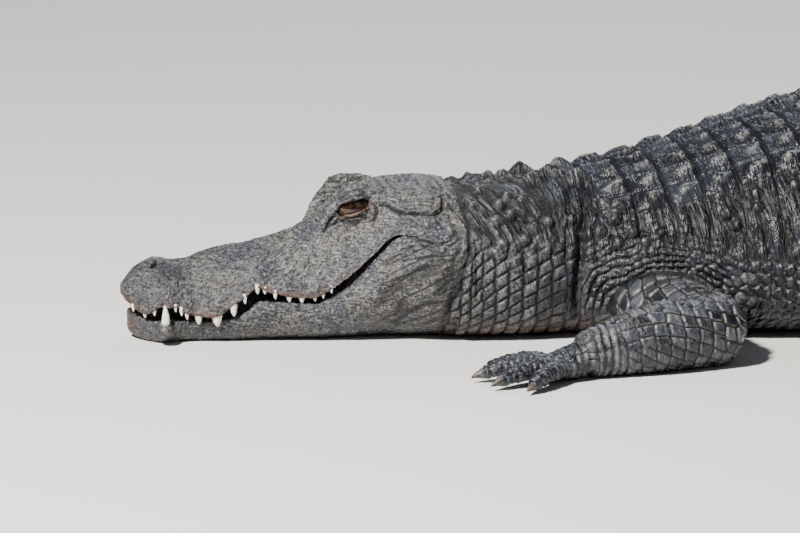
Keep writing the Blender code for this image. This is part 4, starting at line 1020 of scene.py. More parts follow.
# Nuchal plates: s, side, reach along, reach across, height
NUCHALS = ((0.508, 0.016, 0.014, 0.012, 0.009), (0.534, 0.017, 0.015, 0.014, 0.012), (0.562, 0.032, 0.023,
    0.021, 0.018), (0.62, 0.045, 0.024, 0.023, 0.021), (0.6, 0.016, 0.018, 0.014, 0.014))


def wall_place(s, height):
    """A place on the head's left wall at a height, on the upper head above its lip and on the jaw below."""
    side, z = head_outline(s) if height > mouth_height(s) else jaw_outline(s)
    order = np.argsort(z)
    return float(np.interp(height, z[order], side[order]))


def on_skin(co, places, hand, reach=0.02):
    """World points along a path of places, each drawn to the nearest point of the skin, and evened out."""
    points = [place(s, hand * (wall_place(s, z) if side is None else side), z) for s, side, z in places]
    run = run_along(points)
    dense = curve_through(run, points, np.linspace(0, run[-1], max(int(run[-1] / 0.004), 4)))
    skin = co[np.all((co > dense.min(0) - reach) & (co < dense.max(0) + reach), axis=1)]
    if len(skin) < 10:
        return dense
    near = np.array([skin[np.argmin(((skin - p) ** 2).sum(1))] for p in dense])
    near[1:-1] = (near[:-2] + near[1:-1] + near[2:]) / 3
    return near


# Marks for the material. The groove mark darkens seams, grooves, creases, pits and knob rims: partly dark seams,
# partly painted shade. The wear mark pales raised places: partly worn skin, partly painted highlight. The shade
# mark is painted shade.
MARKS = ("groove", "tone", "wear", "bone", "web", "warm", "shade", "lid", "fold", "run", "round")


def blank_marks(count):
    """All marks at nought."""
    return {name: np.zeros(count) for name in MARKS}


def raised(marks, key, value):
    """A mark, nowhere less than a value."""
    marks[key] = np.maximum(marks[key], value)


def mixed(old, new, share):
    """From the old value to the new one by a share."""
    return old + (new - old) * share


def body_relief(co, s, side, limb_off, limb_turn):
    """Relief and marks of neck, trunk and tail by s and by the arc down from the back."""
    z, hand = co[:, 2], np.where(side >= 0, 1.0, -1.0)
    arc = from_table(ARC_TABLE, s, np.arctan2(z - waist_height(s), np.abs(side)))
    marks = blank_marks(len(co))
    signed = arc * hand
    warped = s + 0.0045 * (noise(3, s / 0.045, signed / 0.05) - 0.5)
    warped = warped + 0.002 * (noise(4, s / 0.015, signed / 0.02) - 0.5)
    behind_neck = smooth(s, NECK_END - 0.006, NECK_END + 0.004)
    tail = smooth(s, TAIL_START - 0.006, TAIL_START + 0.004)
    trunk, neck = behind_neck * (1 - tail), 1 - behind_neck
    # Rows of keeled plates along the back
    width = hermite(SCUTE_WIDTH, s)
    column, row = arc / width, (warped - NECK_END) / DORSAL_ROW
    x, y = row - np.floor(row), (column - np.floor(column)) * 2 - 1
    which = np.clip(np.floor(column), 0, SCUTES_A_SIDE - 1).astype(int)
    plate_value = [hashed(seed, np.floor(row), which * hand) for seed in (11, 12, 13)]
    shield = trunk * (1 - smooth(column, 3.75, 4.2))
    seam_far = np.minimum(x, 1 - x) * DORSAL_ROW
    column_far = np.minimum(1 - y, 1 + y) / 2 * width
    seam = hump(seam_far, 0.0017)
    between = hump(column_far, 0.0013) * (0.25 + 0.5 * noise(6, s / 0.03, signed / 0.03))
    rise = smooth(x, 0.04, 0.72) * (1 - smooth(x, 0.84, 0.985))
    inner = hump(y, 0.40 + 0.12 * plate_value[1])
    outer = bell(np.hypot((x - 0.56) * DORSAL_ROW / 0.0215, y * width / 2 / 0.019))
    height = np.array(KEEL_HEIGHTS)[which] * (0.8 + 0.4 * plate_value[0]) * 0.80
    keel = np.where(which == SCUTES_A_SIDE - 1, outer * 0.92, rise * inner) * height
    plate = 0.0022 * smooth(np.minimum(seam_far, column_far * 1.6), 0.0, 0.006)
    lift = shield * (keel + plate - 0.0034 * seam - 0.0014 * between)
    # Painted shade in the seams between plates; keels paler by the wear mark, partly worn skin and partly painted
    # highlight
    marks["groove"] = shield * np.maximum(seam, 0.55 * between)
    marks["wear"] = shield * smooth(keel, 0.003, 0.010) * 0.8
    marks["tone"] = shield * 0.55 * plate_value[2]
    # Flank below the shield: the rows go on as folds, with bosses in rows and wrinkles between
    loose = (1 - shield) * (1 - tail)
    below = np.clip(arc - 4 * width, 0, 1)
    low_edge = np.interp(s, [0.45, 0.60, 0.75, 1.0, 1.6], [0.150, 0.140, 0.120, 0.118, 0.100])
    uneven = z + 0.02 * (noise(7, s / 0.05, signed / 0.05) - 0.5)
    low = (1 - smooth(uneven, low_edge - 0.018, low_edge + 0.016)) * loose
    high = loose * (1 - low)
    fold = hump(seam_far, 0.0026) * trunk * high * (1 - smooth(below, 0.04, 0.13))
    lift -= 0.0026 * fold
    edge, tone, du, dv = scales(21, below / 0.030 * hand + 40, row, 0.45)
    boss = bell(np.hypot(du * 0.030, dv * DORSAL_ROW) / (0.0085 + 0.0060 * tone)) * (tone > 0.25) * trunk * high
    lift += 0.0065 * boss
    swept = warped - 0.42 * arc * (1 - smooth(s, 0.53, 0.62)) - 0.10 * arc * smooth(s, 0.62, 0.72)
    coarse = np.maximum(wrinkle(31, swept / 0.0125, signed / 0.085, 0.125),
                        0.9 * wrinkle(36, swept / 0.019, signed / 0.13, 0.085))
    fine = wrinkle(32, swept / 0.0062, signed / 0.045, 0.15)
    crossing = wrinkle(33, s / 0.030, signed / 0.0085, 0.10) * 0.5
    soft = high * (1 - 0.75 * boss)
    lift -= soft * (0.0030 * coarse + 0.0014 * fine + 0.0007 * crossing)
    lift += soft * 0.0022 * (noise(34, warped / 0.012, signed / 0.05) - 0.5)
    lift -= shield * 0.0008 * fine * (1 - rise * inner)
    # Painted shade in folds and wrinkles; bosses paler, partly worn skin and partly painted highlight
    marks["groove"] = np.maximum.reduce([marks["groove"], 0.95 * fold, soft * np.minimum(coarse + 0.5 * fine, 1.0),
                                         soft * crossing * 0.6, shield * 0.30 * fine])
    marks["tone"] += high * (0.35 + 0.3 * noise(35, s / 0.01, signed / 0.02))
    raised(marks, "wear", 0.75 * boss)
    # Pillow scales low on the flank and neck
    across = signed / 0.0175 + 60 + np.interp(s, LOW_S, LOW_SHEAR)
    edge, tone, du, dv = scales(41, across, np.interp(s, LOW_S, LOW_RUN), 0.24, 0.0)
    flank = smooth(s, 0.68, 0.80)
    from_middle = np.hypot(du - 0.5 * dv, dv)
    dome = mixed(smooth(edge, 0.03, 0.26), smooth(0.47 - from_middle, 0.0, 0.20), flank)
    pillow = 0.0034 * np.sqrt(np.clip(dome, 0, 1)) * (0.7 + 0.5 * tone)
    lift += low * (pillow - 0.0022)
    # Painted shade round each pillow scale; the pale dome tops, paler toward the jaw, are partly pale skin and
    # partly painted highlight
    rim = mixed(1 - smooth(edge, 0.045, 0.12), 0.85 * hump(from_middle - 0.45, 0.06), flank)
    raised(marks, "groove", low * rim)
    raised(marks, "web", low * mixed(0.12 * hump(edge - 0.13, 0.06), 0.50 * hump(from_middle - 0.56, 0.05), flank))
    marks["tone"] += low * tone * (1 - 0.7 * flank)
    pale = 0.35 + 0.55 * (1 - smooth(s, 0.48, 0.60))
    raised(marks, "wear", low * pale * dome ** 2 * (0.3 + 0.7 * tone) * (1 - 0.75 * flank))
    marks["fold"] = np.clip(soft + 0.30 * low * (1 - flank) + 0.35 * shield * (1 - tail), 0, 1)
    # Belly plates in straight rows
    under = (1 - smooth(z, 0.006, 0.022)) * (1 - tail)
    u, v = signed / 0.024, s / 0.026
    belly_far = np.minimum(np.abs(u - np.round(u)) * 0.024, np.abs(v - np.round(v)) * 0.026)
    raised(marks, "web", under * 0.5 * smooth(belly_far, 0.002, 0.006))
    # Tail whorls: oblong scales in rings
    whorl = np.interp(warped, WHORL_EDGES, np.arange(len(WHORL_EDGES)))
    x = whorl - np.floor(whorl)
    ring = np.minimum(x, 1 - x) * 0.042
    whole = np.interp(s, ARC_STATIONS, WHOLE_ARC)
    count = np.maximum(np.round(whole / 0.026), 2.0)
    around = arc / whole * count
    c = around - np.floor(around)
    column_far = np.minimum(c, 1 - c) * 0.026
    tone = hashed(51, np.floor(whorl), np.floor(around) * hand)
    ring_groove, column_groove = hump(ring, 0.0022), hump(column_far, 0.0017)
    body = smooth(np.minimum(ring, column_far), 0.0, 0.008)
    lift += tail * (0.0022 * body - 0.0020 * ring_groove - 0.0012 * column_groove)
    lift += tail * 0.0016 * hump(c - 0.5, 0.16) * smooth(x, 0.1, 0.8) * (around < count * 0.55)
    # Painted shade in the whorls' seams; scale bodies paler, partly worn skin and partly painted highlight
    raised(marks, "groove", tail * np.maximum(ring_groove, 0.75 * column_groove))
    marks["tone"] += tail * (0.25 + 0.45 * tone)
    raised(marks, "wear", tail * 0.35 * body * tone)
    # Skin drawn up round the root of each limb: small scales between arched folds
    for off, turn in zip(limb_off, limb_turn):
        ring_share = hump(off, 0.050) * smooth(off, -0.002, 0.010) * smooth(z, 0.02, 0.05) * (1 - tail)
        path = off / 0.0100 + 1.6 * noise(61, s / 0.035, signed / 0.045)
        path = path + 0.5 * noise(63, s / 0.012, signed / 0.015)
        edge, tone, _, _ = scales(62, turn * 6.0 + 30 + 0.3 * path, path, 0.55)
        arch = hump(path - np.round(path), 0.13) * smooth(noise(64, s / 0.03, signed / 0.03), 0.2, 0.45)
        bead = smooth(edge, 0.03, 0.24)
        keep = np.clip(ring_share * 1.3, 0, 1)
        lift = mixed(lift, 0.0024 * bead - 0.0026 * arch, keep)
        # Painted shade in the arches and round the beads; beads paler, partly worn skin and partly painted
        # highlight
        for key, value in (("groove", np.maximum(arch, 0.8 * (1 - smooth(edge, 0.03, 0.11)))),
                           ("tone", tone * 0.8), ("wear", 0.3 * bead * tone)):
            marks[key] = mixed(marks[key], value, keep)
    raised(marks, "warm", neck * (1 - smooth(z, 0.010, 0.045)) * 0.6)
    greyer = 1 - smooth(s + 0.07 * (noise(66, s / 0.02, signed / 0.03) - 0.5), 0.47, 0.61)
    marks["bone"] = neck * greyer * 0.62
    # Upper neck paler near the head, partly pale skin and partly painted highlight
    raised(marks, "wear", high * neck * greyer * (0.35 + 0.45 * noise(67, s / 0.012, signed / 0.03)))
    # Painted shade on the shoulder before the arm, and over the loose flank between the bosses
    marks["shade"] = 0.95 * trunk * hump(s - 0.715, 0.07, z - 0.152, 0.050)
    raised(marks, "shade", 0.30 * high * trunk * (1 - boss))
    marks["run"], marks["round"] = swept, signed
    lift *= smooth(TOTAL_LENGTH + 0.001 - s, 0.0, 0.03)
    return lift, marks


# Low scales: their length by s, the rows added up from it, and how far each row is shifted sideways
LOW_S = np.linspace(0.40, TOTAL_LENGTH, 400)
LOW_PITCH = np.interp(LOW_S, [0.45, 0.50, 0.58, 0.70, 0.78, 1.6], [0.0135, 0.0175, 0.0205, 0.0180, 0.0145, 0.0155])
LOW_RUN = np.cumsum((LOW_S[1] - LOW_S[0]) / LOW_PITCH)
LOW_LEAN = np.interp(LOW_S, [0.66, 0.74], [0.62, 0.50])
LOW_SHEAR = np.concatenate([[0.0], np.cumsum(np.diff(LOW_RUN) * LOW_LEAN[1:])])
WHORL_EDGES = whorl_edges()


def wrist_way(name):
    """How far along a limb its lower length ends at the wrist or ankle."""
    paths = [limb_path(*part, LIMB_STATIONS, LIMBS[name][3])[0] for part in limb_lengths(name)]
    return sum(np.linalg.norm(np.diff(path, axis=0), axis=1).sum() for path in paths)


# Scales of upper length, lower length and paw: pitch along and round the limb, jitter and height
LIMB_SCALES = ((0.0290, 0.0210, 0.34, 0.0022), (0.0195, 0.0178, 0.28, 0.0020), (0.0085, 0.0125, 0.12, 0.0011))


def limb_relief(t, turn, radius, part, wrist):
    """Relief and marks of a limb by the way along it and round it, with folds across the wrist or ankle."""
    marks = blank_marks(len(t))
    hide = np.minimum(part, 2)
    lift, groove, tone, web = (np.zeros(len(t)) for _ in range(4))
    for kind, (pitch_t, pitch_round, jitter, high) in enumerate(LIMB_SCALES):
        mine = hide == kind
        around = turn[mine] * radius[mine] / pitch_round + 50 + 0.45 * t[mine] / pitch_t
        edge, value, _, dv = scales(71 + 10 * kind, around, t[mine] / pitch_t + 20, jitter, 0.0)
        body = smooth(edge, 0.02, 0.16)
        lift[mine] = high * body + 0.0012 * (dv + 0.5) * body
        groove[mine] = 1 - smooth(edge, 0.030, 0.080)
        web[mine] = hump(edge - 0.110, 0.030)
        tone[mine] = value
    folds = np.abs(np.sin(math.pi * (t - wrist + 0.004 * np.sin(turn)) / 0.0105))
    window = 0.85 * hump(t - wrist + 0.020, 0.020)
    lift = mixed(lift, 0.0030 * folds ** 0.7 - 0.0004, window)
    groove = mixed(groove, 1 - smooth(folds, 0.15, 0.45), window)
    web = mixed(web, smooth(folds, 0.70, 1.0), window)
    # Painted shade between the scales and in the wrist's folds; raised scales paler, partly worn skin and partly
    # painted highlight
    marks["groove"], marks["tone"], marks["web"] = groove * 0.95, tone, web * np.where(hide == 2, 0.2, 0.75)
    marks["wear"] = 0.30 * tone * smooth(lift, 0.0008, 0.002)
    marks["run"], marks["round"] = t, turn * radius
    return lift, marks


def near_line(value, width):
    """A soft line at every whole number of a value."""
    return hump(value - np.round(value), width)


def brow_lines(co, x, y, z, lift, marks):
    """Crooked lines round the eyes, knotted skin above them, and a rim of paler skin along the lids."""
    brow = np.zeros(len(co))
    for hand in (1, -1):
        look = eye_look(hand)
        offset = co - np.array(eye_place(hand))
        far = np.linalg.norm(offset, axis=1)
        close = (far < 0.075) & (y * hand > 0)
        far, offset = far[close], offset[close]
        local = (offset - look * LID_RADIUS) @ np.array(lid_frame(hand))
        local[:, 0] += EYE_OPENING_FORWARD
        almond = np.sqrt((local[:, 0] / EYE_OPENING[0]) ** 2 + (local[:, 1] / EYE_OPENING[1]) ** 2)
        marks["lid"][close] = (hump(almond - 1.08, 0.26) * smooth(offset @ look, 0.004, 0.014)
                               * (1 - smooth(far, 0.030, 0.036)) * (1 - 0.75 * smooth(local[:, 1], -0.002, 0.004)))
        angle = np.arctan2(local[:, 1], local[:, 0])
        rings = near_line((almond + 0.5 * noise(86, angle * 3.0 + 20, almond * 1.2)) * 1.6, 0.17)
        reach = smooth(almond, 1.25, 1.6) * (1 - smooth(almond, 3.2, 4.6)) * (1 - smooth(far, 0.030, 0.048))
        brow[close] = rings * reach * smooth(noise(87, angle * 5.0 + 9, almond * 2.0), 0.25, 0.55)
        knots = noise(88, x[close] / 0.006, y[close] / 0.006, z[close] / 0.006) - 0.5
        lift[close] += 0.0024 * knots * (1 - smooth(far, 0.030, 0.050)) * smooth(z[close], 0.178, 0.19)
    return brow


def head_relief_fine(co, s, side, normal):
    """Pits, ridges and festoons of the bony head, and the looser hide of the jowl."""
    z = co[:, 2]
    marks = blank_marks(len(co))
    rough, lumps, swell, patches, grit = (
        noise(seed, s / size, side / size, z / size)
        for seed, size in ((81, 0.0042), (82, 0.012), (83, 0.035), (93, 0.028), (89, 0.0026)))
    above_lip = z - mouth_height(np.clip(s, 0, HEAD_END))
    pits = smooth(rough, 0.60, 0.85)
    jaw = smooth(-above_lip, 0.0, 0.006)
    lift = (0.0030 * (swell - 0.5) + 0.0026 * (lumps - 0.5) - 0.0012 * pits) * (1 - 0.5 * jaw)
    lift += 0.0009 * (grit - 0.5)
    # Gum round the lower fang, and bulges over the great upper teeth
    lift += 0.0062 * (hump(s - LOWER_FANG[0], 0.0095, z - 0.021, 0.0085) * jaw)
    lip = hump(above_lip - 0.012, 0.014) * (s < 0.30)
    lift += 0.0022 * lip * sum(hump(s - at, 0.014) for at in (0.030, 0.124, 0.221, 0.262))
    # Ridge from the eye's front corner down the snout
    ridge = hump(np.abs(side) - np.interp(s, [0.13, 0.20, 0.29], [0.050, 0.052, 0.050]), 0.007)
    ridge *= smooth(s, 0.12, 0.19) * (1 - smooth(s, 0.275, 0.295)) * smooth(normal[:, 2], 0.2, 0.6)
    lift += 0.0024 * ridge
    cross = wrinkle(84, s / 0.012, (z + 0.3 * np.abs(side)) / 0.030, 0.08) * smooth(s, 0.39, 0.45)
    lift -= 0.0012 * cross
    # Long creases that sweep up over the bulge of the jaw muscle
    sweep = (z - 0.55 * (s - 0.36)) / 0.011
    muscle = smooth(s, 0.315, 0.36) * smooth(-above_lip, 0.004, 0.012) * smooth(z, 0.012, 0.030)
    lines = wrinkle(90, (s + 0.4 * z) / 0.060, sweep, 0.11) * muscle
    lift -= 0.0012 * lines
    lift += 0.0030 * (noise(91, s / 0.022, sweep * 0.45) - 0.5) * muscle
    brow = brow_lines(co, s, side, z, lift, marks)
    lift -= 0.0013 * brow
    # Rays behind the ear flap, and ripples along its slit
    rays = hump(np.sin(np.arctan2(z - 0.180, s - 0.415) * 17.0) - 1, 0.5)
    rays = rays * hump(s - 0.432, 0.020, z - 0.178, 0.016) * (s > 0.418)
    lift -= 0.0012 * rays
    flap = np.zeros(len(co))
    for hand in (1, -1):
        far, _ = near_path(co, on_skin(co, [(at, None, height) for at, height in EAR_SLIT], hand), 0.034)
        ripple = near_line(far / 0.0062 + 0.9 * noise(94, s / 0.02, z / 0.02), 0.16)
        ripple = ripple * smooth(far, 0.003, 0.007) * (1 - smooth(far, 0.022, 0.033))
        flap = np.maximum(flap, ripple * smooth(s, 0.345, 0.375) * smooth(z, 0.160, 0.172)
                          * smooth(noise(95, s / 0.012, z / 0.008), 0.25, 0.5))
    lift -= 0.0009 * flap
    streaks = noise(92, s / 0.011, (z + 0.25 * s) / 0.0035, side / 0.006)
    marks["bone"] = np.ones(len(co))
    # Painted shade in creases, brow lines, ear rays, ripples and pits; pale flecks are partly pale skin and partly
    # painted highlight
    marks["groove"] = np.maximum.reduce([0.75 * cross, 0.95 * brow, 0.85 * rays, 0.80 * lines, 0.70 * flap,
                                         0.45 * pits])
    marks["tone"] = smooth(0.55 * patches + 0.45 * swell, 0.28, 0.70)
    marks["wear"] = smooth(0.10 * lumps + 0.25 * rough + 0.30 * streaks + 0.35 * grit, 0.38, 0.66)
    # Warmer skin along the lips and at the snout's tip; painted shade behind the nostrils, over the front of the
    # snout and in the jowl's hollow
    margin = hump(above_lip, 0.0075) * (s < 0.32) * smooth(above_lip, -0.004, 0.001)
    tip = smooth(0.03 - s, 0.0, 0.02) * (1 - smooth(z, 0.05, 0.075))
    marks["warm"] = np.clip(0.75 * margin + 0.6 * tip, 0, 1)
    behind = np.maximum(hump(s - 0.063, 0.027, np.abs(side) - 0.032, 0.019) * smooth(z, 0.066, 0.088),
                        hump(s - 0.046, 0.011, np.abs(side) - 0.020, 0.010) * (z > 0.09))
    hollow = hump(s - 0.433, 0.016, z - 0.080, 0.018)
    marks["shade"] = np.maximum.reduce([np.clip(1.5 * behind * (0.55 + 0.6 * patches), 0, 1),
                                        0.34 * (1 - smooth(s, 0.13, 0.26)), 0.8 * hollow])
    lift -= 0.004 * hollow
    marks["run"], marks["round"] = s, np.where(side > 0, 1, -1) * (0.2 - z)
    return lift, marks


def off_body(co, s, side):
    """How far each point lies off the plain form of neck, trunk or tail."""
    up = co[:, 2] - waist_height(s)
    return np.hypot(side, up) - from_table(REACH_TABLE, s, np.arctan2(up, np.abs(side)))


def lay_knobs(co, s, side, lift, marks):
    """Round knobs on neck and shoulder, and the nuchal plates that lean backward."""
    for hand, shift in ((1, 0.0), (-1, 0.006)):
        for at, across, height, reach, high in KNOBS:
            middle = place(at + shift, hand * across, height)
            close = np.abs(co - middle).max(1) < 0.05
            far = np.linalg.norm(co[close] - middle, axis=1)
            shape = bell(far / (reach * 1.05)) ** 0.9
            grainy = noise(96, *(co[close].T / 0.0045)) - 0.5
            rim = hump(far - reach * 1.04, 0.0020)
            lift[close] = mixed(lift[close], high * 0.85, shape) + 0.0016 * grainy * shape
            lift[close] -= 0.0010 * rim
            # Painted shade in the rim round each knob; knob tops paler, partly worn skin and partly painted
            # highlight
            marks["groove"][close] = np.maximum(marks["groove"][close] * (1 - shape), 0.75 * rim)
            marks["wear"][close] = mixed(marks["wear"][close], 0.42, shape)
            marks["fold"][close] *= 1 - shape
            marks["bone"][close] *= 1 - 0.8 * shape
        for at, across, long, wide, high in NUCHALS:
            close = (np.abs(s - at) < long * 1.3) & (side * hand > -0.01) & (co[:, 2] > 0.15)
            back, out = s[close] - at, side[close] * hand - across
            far = np.hypot(back / long, out / wide)
            shape = bell(far) ** 0.6
            lean = np.clip(0.5 + back / (2 * long), 0, 1)
            lift[close] += high * shape * (0.55 + 0.45 * lean) * (0.72 + 0.28 * hump(out, wide * 0.35))
            rim = hump(far - 1.0, 0.10)
            # Painted shade round each nuchal plate; plate tops paler, partly worn skin and partly painted
            # highlight
            marks["groove"][close] = np.maximum(marks["groove"][close] * (1 - 0.7 * shape), 0.7 * rim)
            marks["wear"][close] = np.maximum(marks["wear"][close], 0.8 * shape)


def lay_creases(co, lift, marks):
    """Each crease: a cut that fades at its ends, between two low lips, darkened with painted shade."""
    for places, depth, width, dark in CREASES.values():
        for hand in (1, -1):
            far, share = near_path(co, on_skin(co, places, hand), 0.03)
            ends = np.clip(np.minimum(share, 1 - share) / 0.12, 0, 1) ** 0.7
            cut, lips = hump(far, width) * ends, hump(far - 2.1 * width, 1.1 * width) * ends
            lift += 0.22 * depth * lips - depth * cut
            raised(marks, "groove", cut * dark)


def dressed(co, quads):
    """Lays relief and marks on a plain skin: gives the relief, marks, normals, place and limb of each point."""
    normal = point_normals(co, quads)
    s, side = along_spine(co)
    limbs = [limb_coordinates(co, limb) for limb in LIMBS]
    body_off = off_body(co, s, side)
    on_limb = []
    for name, (_, _, _, off, _) in zip(LIMBS, limbs):
        arm, leg = ((s > 0.45) | (np.abs(side) > 0.2)) & (s < 1.05), (s > 1.1) & (s < 1.9)
        on_limb.append(smooth(body_off - off, -0.004, 0.012) * (arm if name.startswith("arm") else leg))
    lift, marks = body_relief(co, s, side, [limb[3] for limb in limbs], [limb[1] for limb in limbs])
    layers = [(1 - smooth(s - jaw_rear_s(co[:, 2]), -0.006, 0.004), *head_relief_fine(co, s, side, normal))]
    for name, share, (t, around, radius, _, part) in zip(LIMBS, on_limb, limbs):
        if share.max() >= 0.5:
            limb_lift, limb_marks = limb_relief(t, around, radius, part, wrist_way(name))
            layers.append((share, limb_lift - 0.0008, limb_marks))
    for share, layer_lift, layer_marks in layers:
        lift = mixed(lift, layer_lift, share)
        marks = {key: mixed(marks[key], layer_marks[key], share) for key in MARKS}
    lay_knobs(co, s, side, lift, marks)
    lay_creases(co, lift, marks)
    return lift, marks, normal, s, side, on_limb


def jaw_rear_s(height):
    """Where the head's hide gives way to the neck's: further forward low down."""
    return 0.460 - 0.034 * np.clip((0.15 - height) / 0.12, 0, 1)


def dress(thing, skin, nodes):
    """Shades a piece smoothly, gives it its material and its body, and hides the nodes that it stands for."""
    thing.data.shade_smooth()
    thing.data.materials.append(skin)
    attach(thing, "root")
    if nodes:
        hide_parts(*nodes)


def piece_from(skin, keep, label, nodes, low, high, hide):
    """One piece of the skin: its kept faces, with the whole skin's normals, its marks and its bake map."""
    chosen = skin.quads[keep]
    used, inverse = np.unique(chosen.ravel(), return_inverse=True)
    mesh = bpy.data.meshes.new(label)
    mesh.vertices.add(len(used))
    mesh.vertices.foreach_set("co", skin.co[used].astype(np.float32).ravel())
    mesh.loops.add(len(inverse))
    mesh.loops.foreach_set("vertex_index", inverse.astype(np.int32).ravel())
    mesh.polygons.add(len(chosen))
    mesh.polygons.foreach_set("loop_start", np.arange(0, chosen.size, 4, dtype=np.int32))
    mesh.update(calc_edges=True)
    for key, value in skin.marks.items():
        write_mark(mesh, key, value[used] if key in ("run", "round") else np.clip(value[used], 0, 1))
    corners = round_map(skin.s, skin.side, skin.co[:, 2], low, high)[chosen]
    wrap = (corners[..., 0].max(1) - corners[..., 0].min(1)) > 0.5
    shifted = corners[..., 0] + ((corners[..., 0] < 0.5) & wrap[:, None])
    corners = np.stack([shifted / 1.1, corners[..., 1]], -1)
    mesh.uv_layers.new(name="OFBake").data.foreach_set("uv", corners.astype(np.float32).ravel())
    thing = bpy.data.objects.new(label, mesh)
    bpy.context.scene.collection.objects.link(thing)
    dress(thing, hide, nodes)
    mesh.normals_split_custom_set_from_vertices(skin.normal[used].astype(np.float32))


class Skin:
    """One region's skin: remeshed from its forms, rounded at the limbs' roots, with its relief laid on."""

    def __init__(self, forms, voxel, calm_rounds):
        co, self.quads, edges = remeshed("region", forms, voxel)
        co = relaxed(co, edges, np.full(len(co), 0.5), 2)
        if calm_rounds:
            body_off = off_body(co, *along_spine(co))
            share = np.zeros(len(co))
            for limb in LIMBS:
                off = limb_coordinates(co, limb)[3]
                root = hump(np.maximum(body_off, 0), ROOT_REACH, np.maximum(off, 0), ROOT_REACH)
                share = np.maximum(share, root * (np.abs(off) < 0.05))
            co = relaxed(co, edges, np.clip(share * 1.3, 0, 0.9), calm_rounds)
        lift, self.marks, normal, self.s, self.side, on_limb = dressed(co, self.quads)
        way = np.stack([spread(normal[:, i], edges, 3) for i in range(3)], -1)
        way /= np.maximum(np.linalg.norm(way, axis=1), 1e-9)[:, None]
        co = co + way * lift[:, None]
        co[:, 2] = np.maximum(co[:, 2] - TOP_EASE * np.maximum(co[:, 2] - TOP_EASED_FROM, 0.0), 0.0)
        self.co, self.normal = co, point_normals(co, self.quads)
        self.limb = [self.over_faces(share) > 0.5 for share in on_limb]
        self.at, self.height = self.over_faces(self.s), self.over_faces(co[:, 2])

    def over_faces(self, value):
        """A value's mean over the corners of each face."""
        return value[self.quads].mean(1)


def round_map(s, side, z, low, high):
    """A bake map for a length of the body: s one way and the turn about the waist the other."""
    turn = np.arctan2(side, z - waist_height(s)) / (2 * math.pi) + 0.5
    return np.stack([turn, np.clip((s - low) / (high - low), 0, 1) * 0.98 + 0.01], -1)


def limb_pieces(skin, mine, first, parts, low, high, hide):
    """The skin of a left and a right limb."""
    for limb, hand in zip(skin.limb[first:], ("left", "right")):
        label, *nodes = (f"{part}_{hand}" for part in parts)
        piece_from(skin, mine & limb, f"{label}_skin", nodes, low, high, hide)


def build_skin(hide):
    """The hide in three regions, head, front and rear, each cut into pieces across the spine."""
    skin = Skin([*head_forms(), body_form(*NECK_OVERLAP)], HEAD_VOXEL, 0)
    mine = skin.at < jaw_rear_s(skin.height) + JAW_LAP
    for label, low, high in (("snout_skin", -0.01, 0.21), ("cheek_skin", 0.21, 0.275), ("brow_skin", 0.275, 0.345),
                             ("head_rear_skin", 0.345, 0.50)):
        piece_from(skin, mine & (skin.at >= low) & (skin.at < high), label, ("head", "lower_jaw"),
                   low, high, hide)
    stations = np.arange(0.38, HEAD_CUT, 0.004)
    forms = [loft(half_rings(stations, section)) for section in (head_section, jaw_section)]
    forms += [body_form(NECK_OVERLAP[0], SEAM_S + 0.04), *limb_forms("arm_left"), *limb_forms("arm_right")]
    skin = Skin(forms, FRONT_VOXEL, FRONT_CALM)
    at, arms = skin.at, skin.limb[0] | skin.limb[1]
    mine = (at > jaw_rear_s(skin.height) - JAW_LAP) & (at < SEAM_S + SEAM_LAP) | arms
    for label, nodes, low, high in (
            ("neck_skin", ("neck",), 0.42, NECK_END), ("shoulder_skin", ("torso_front",), NECK_END, 0.83),
            ("chest_skin", ("torso_front",), 0.83, 0.92), ("rib_skin", ("torso_front",), 0.92, SEAM_S + SEAM_LAP)):
        piece_from(skin, mine & ~arms & (at >= low) & (at < high), label, nodes, low, high, hide)
    limb_pieces(skin, mine, 0, ("arm", "upper_arm", "forearm", "hand"), 0.4, 1.0, hide)
    forms = [body_form(SEAM_S - 0.04, TOTAL_LENGTH - 0.005), *limb_forms("leg_left"), *limb_forms("leg_right")]
    skin = Skin(forms, REAR_VOXEL, REAR_CALM)
    at, legs = skin.at, skin.limb[2] | skin.limb[3]
    mine = (at > SEAM_S - SEAM_LAP) | legs
    _, first_cut, second_cut, *_ = WHORL_EDGES[::WHORLS_A_LENGTH]
    for label, slot, nodes, low, high in (
            ("belly_skin", "back_hide", ("torso_front", "torso_rear"), SEAM_S - SEAM_LAP, 1.32),
            ("hip_skin", "back_hide", ("torso_rear",), 1.32, TAIL_START),
            ("tail_base_skin", "tail_hide", ("tail_base",), TAIL_START, first_cut),
            ("tail_front_skin", "tail_hide", ("tail_front",), first_cut, second_cut),
            ("tail_rear_skin", "tail_hide", ("tail_rear", "tail_tip"), second_cut, TOTAL_LENGTH + 0.05)):
        piece_from(skin, mine & ~legs & (at >= low) & (at < high), label, nodes, low, high, hide)
    limb_pieces(skin, mine, 2, ("leg", "thigh", "shank", "foot"), 1.2, 1.9, hide)


def plain_piece(name, forms, skin, nodes=()):
    """Several closed forms as one piece."""
    thing = thing_from(name, *joined(forms))
    dress(thing, skin, nodes)
    return thing


def tooth_form(s, side, root, length, width, lean):
    """A blunt, slightly bowed cone that hangs from the upper lip, its radius falling to the tip."""
    share = np.linspace(0, 1, 14)
    thick = width / 2 * np.interp(share, [0, 0.35, 0.7, 0.9, 1.0], [0.96, 1.0, 0.74, 0.42, 0.12])
    foot = place(s, side, root + TOOTH_ROOT)
    reach = TOOTH_ROOT + length
    outward = place(s, side + math.copysign(lean * reach, side), root) - place(s, side, root)
    back = place(s + 0.06 * reach, side, root) - place(s, side, root)
    share = share[:, None]
    path = foot + np.array([0, 0, -reach]) * share + outward * share ** 2 + back * share ** 2
    return tube_form(path, thick, 14, flat=False)


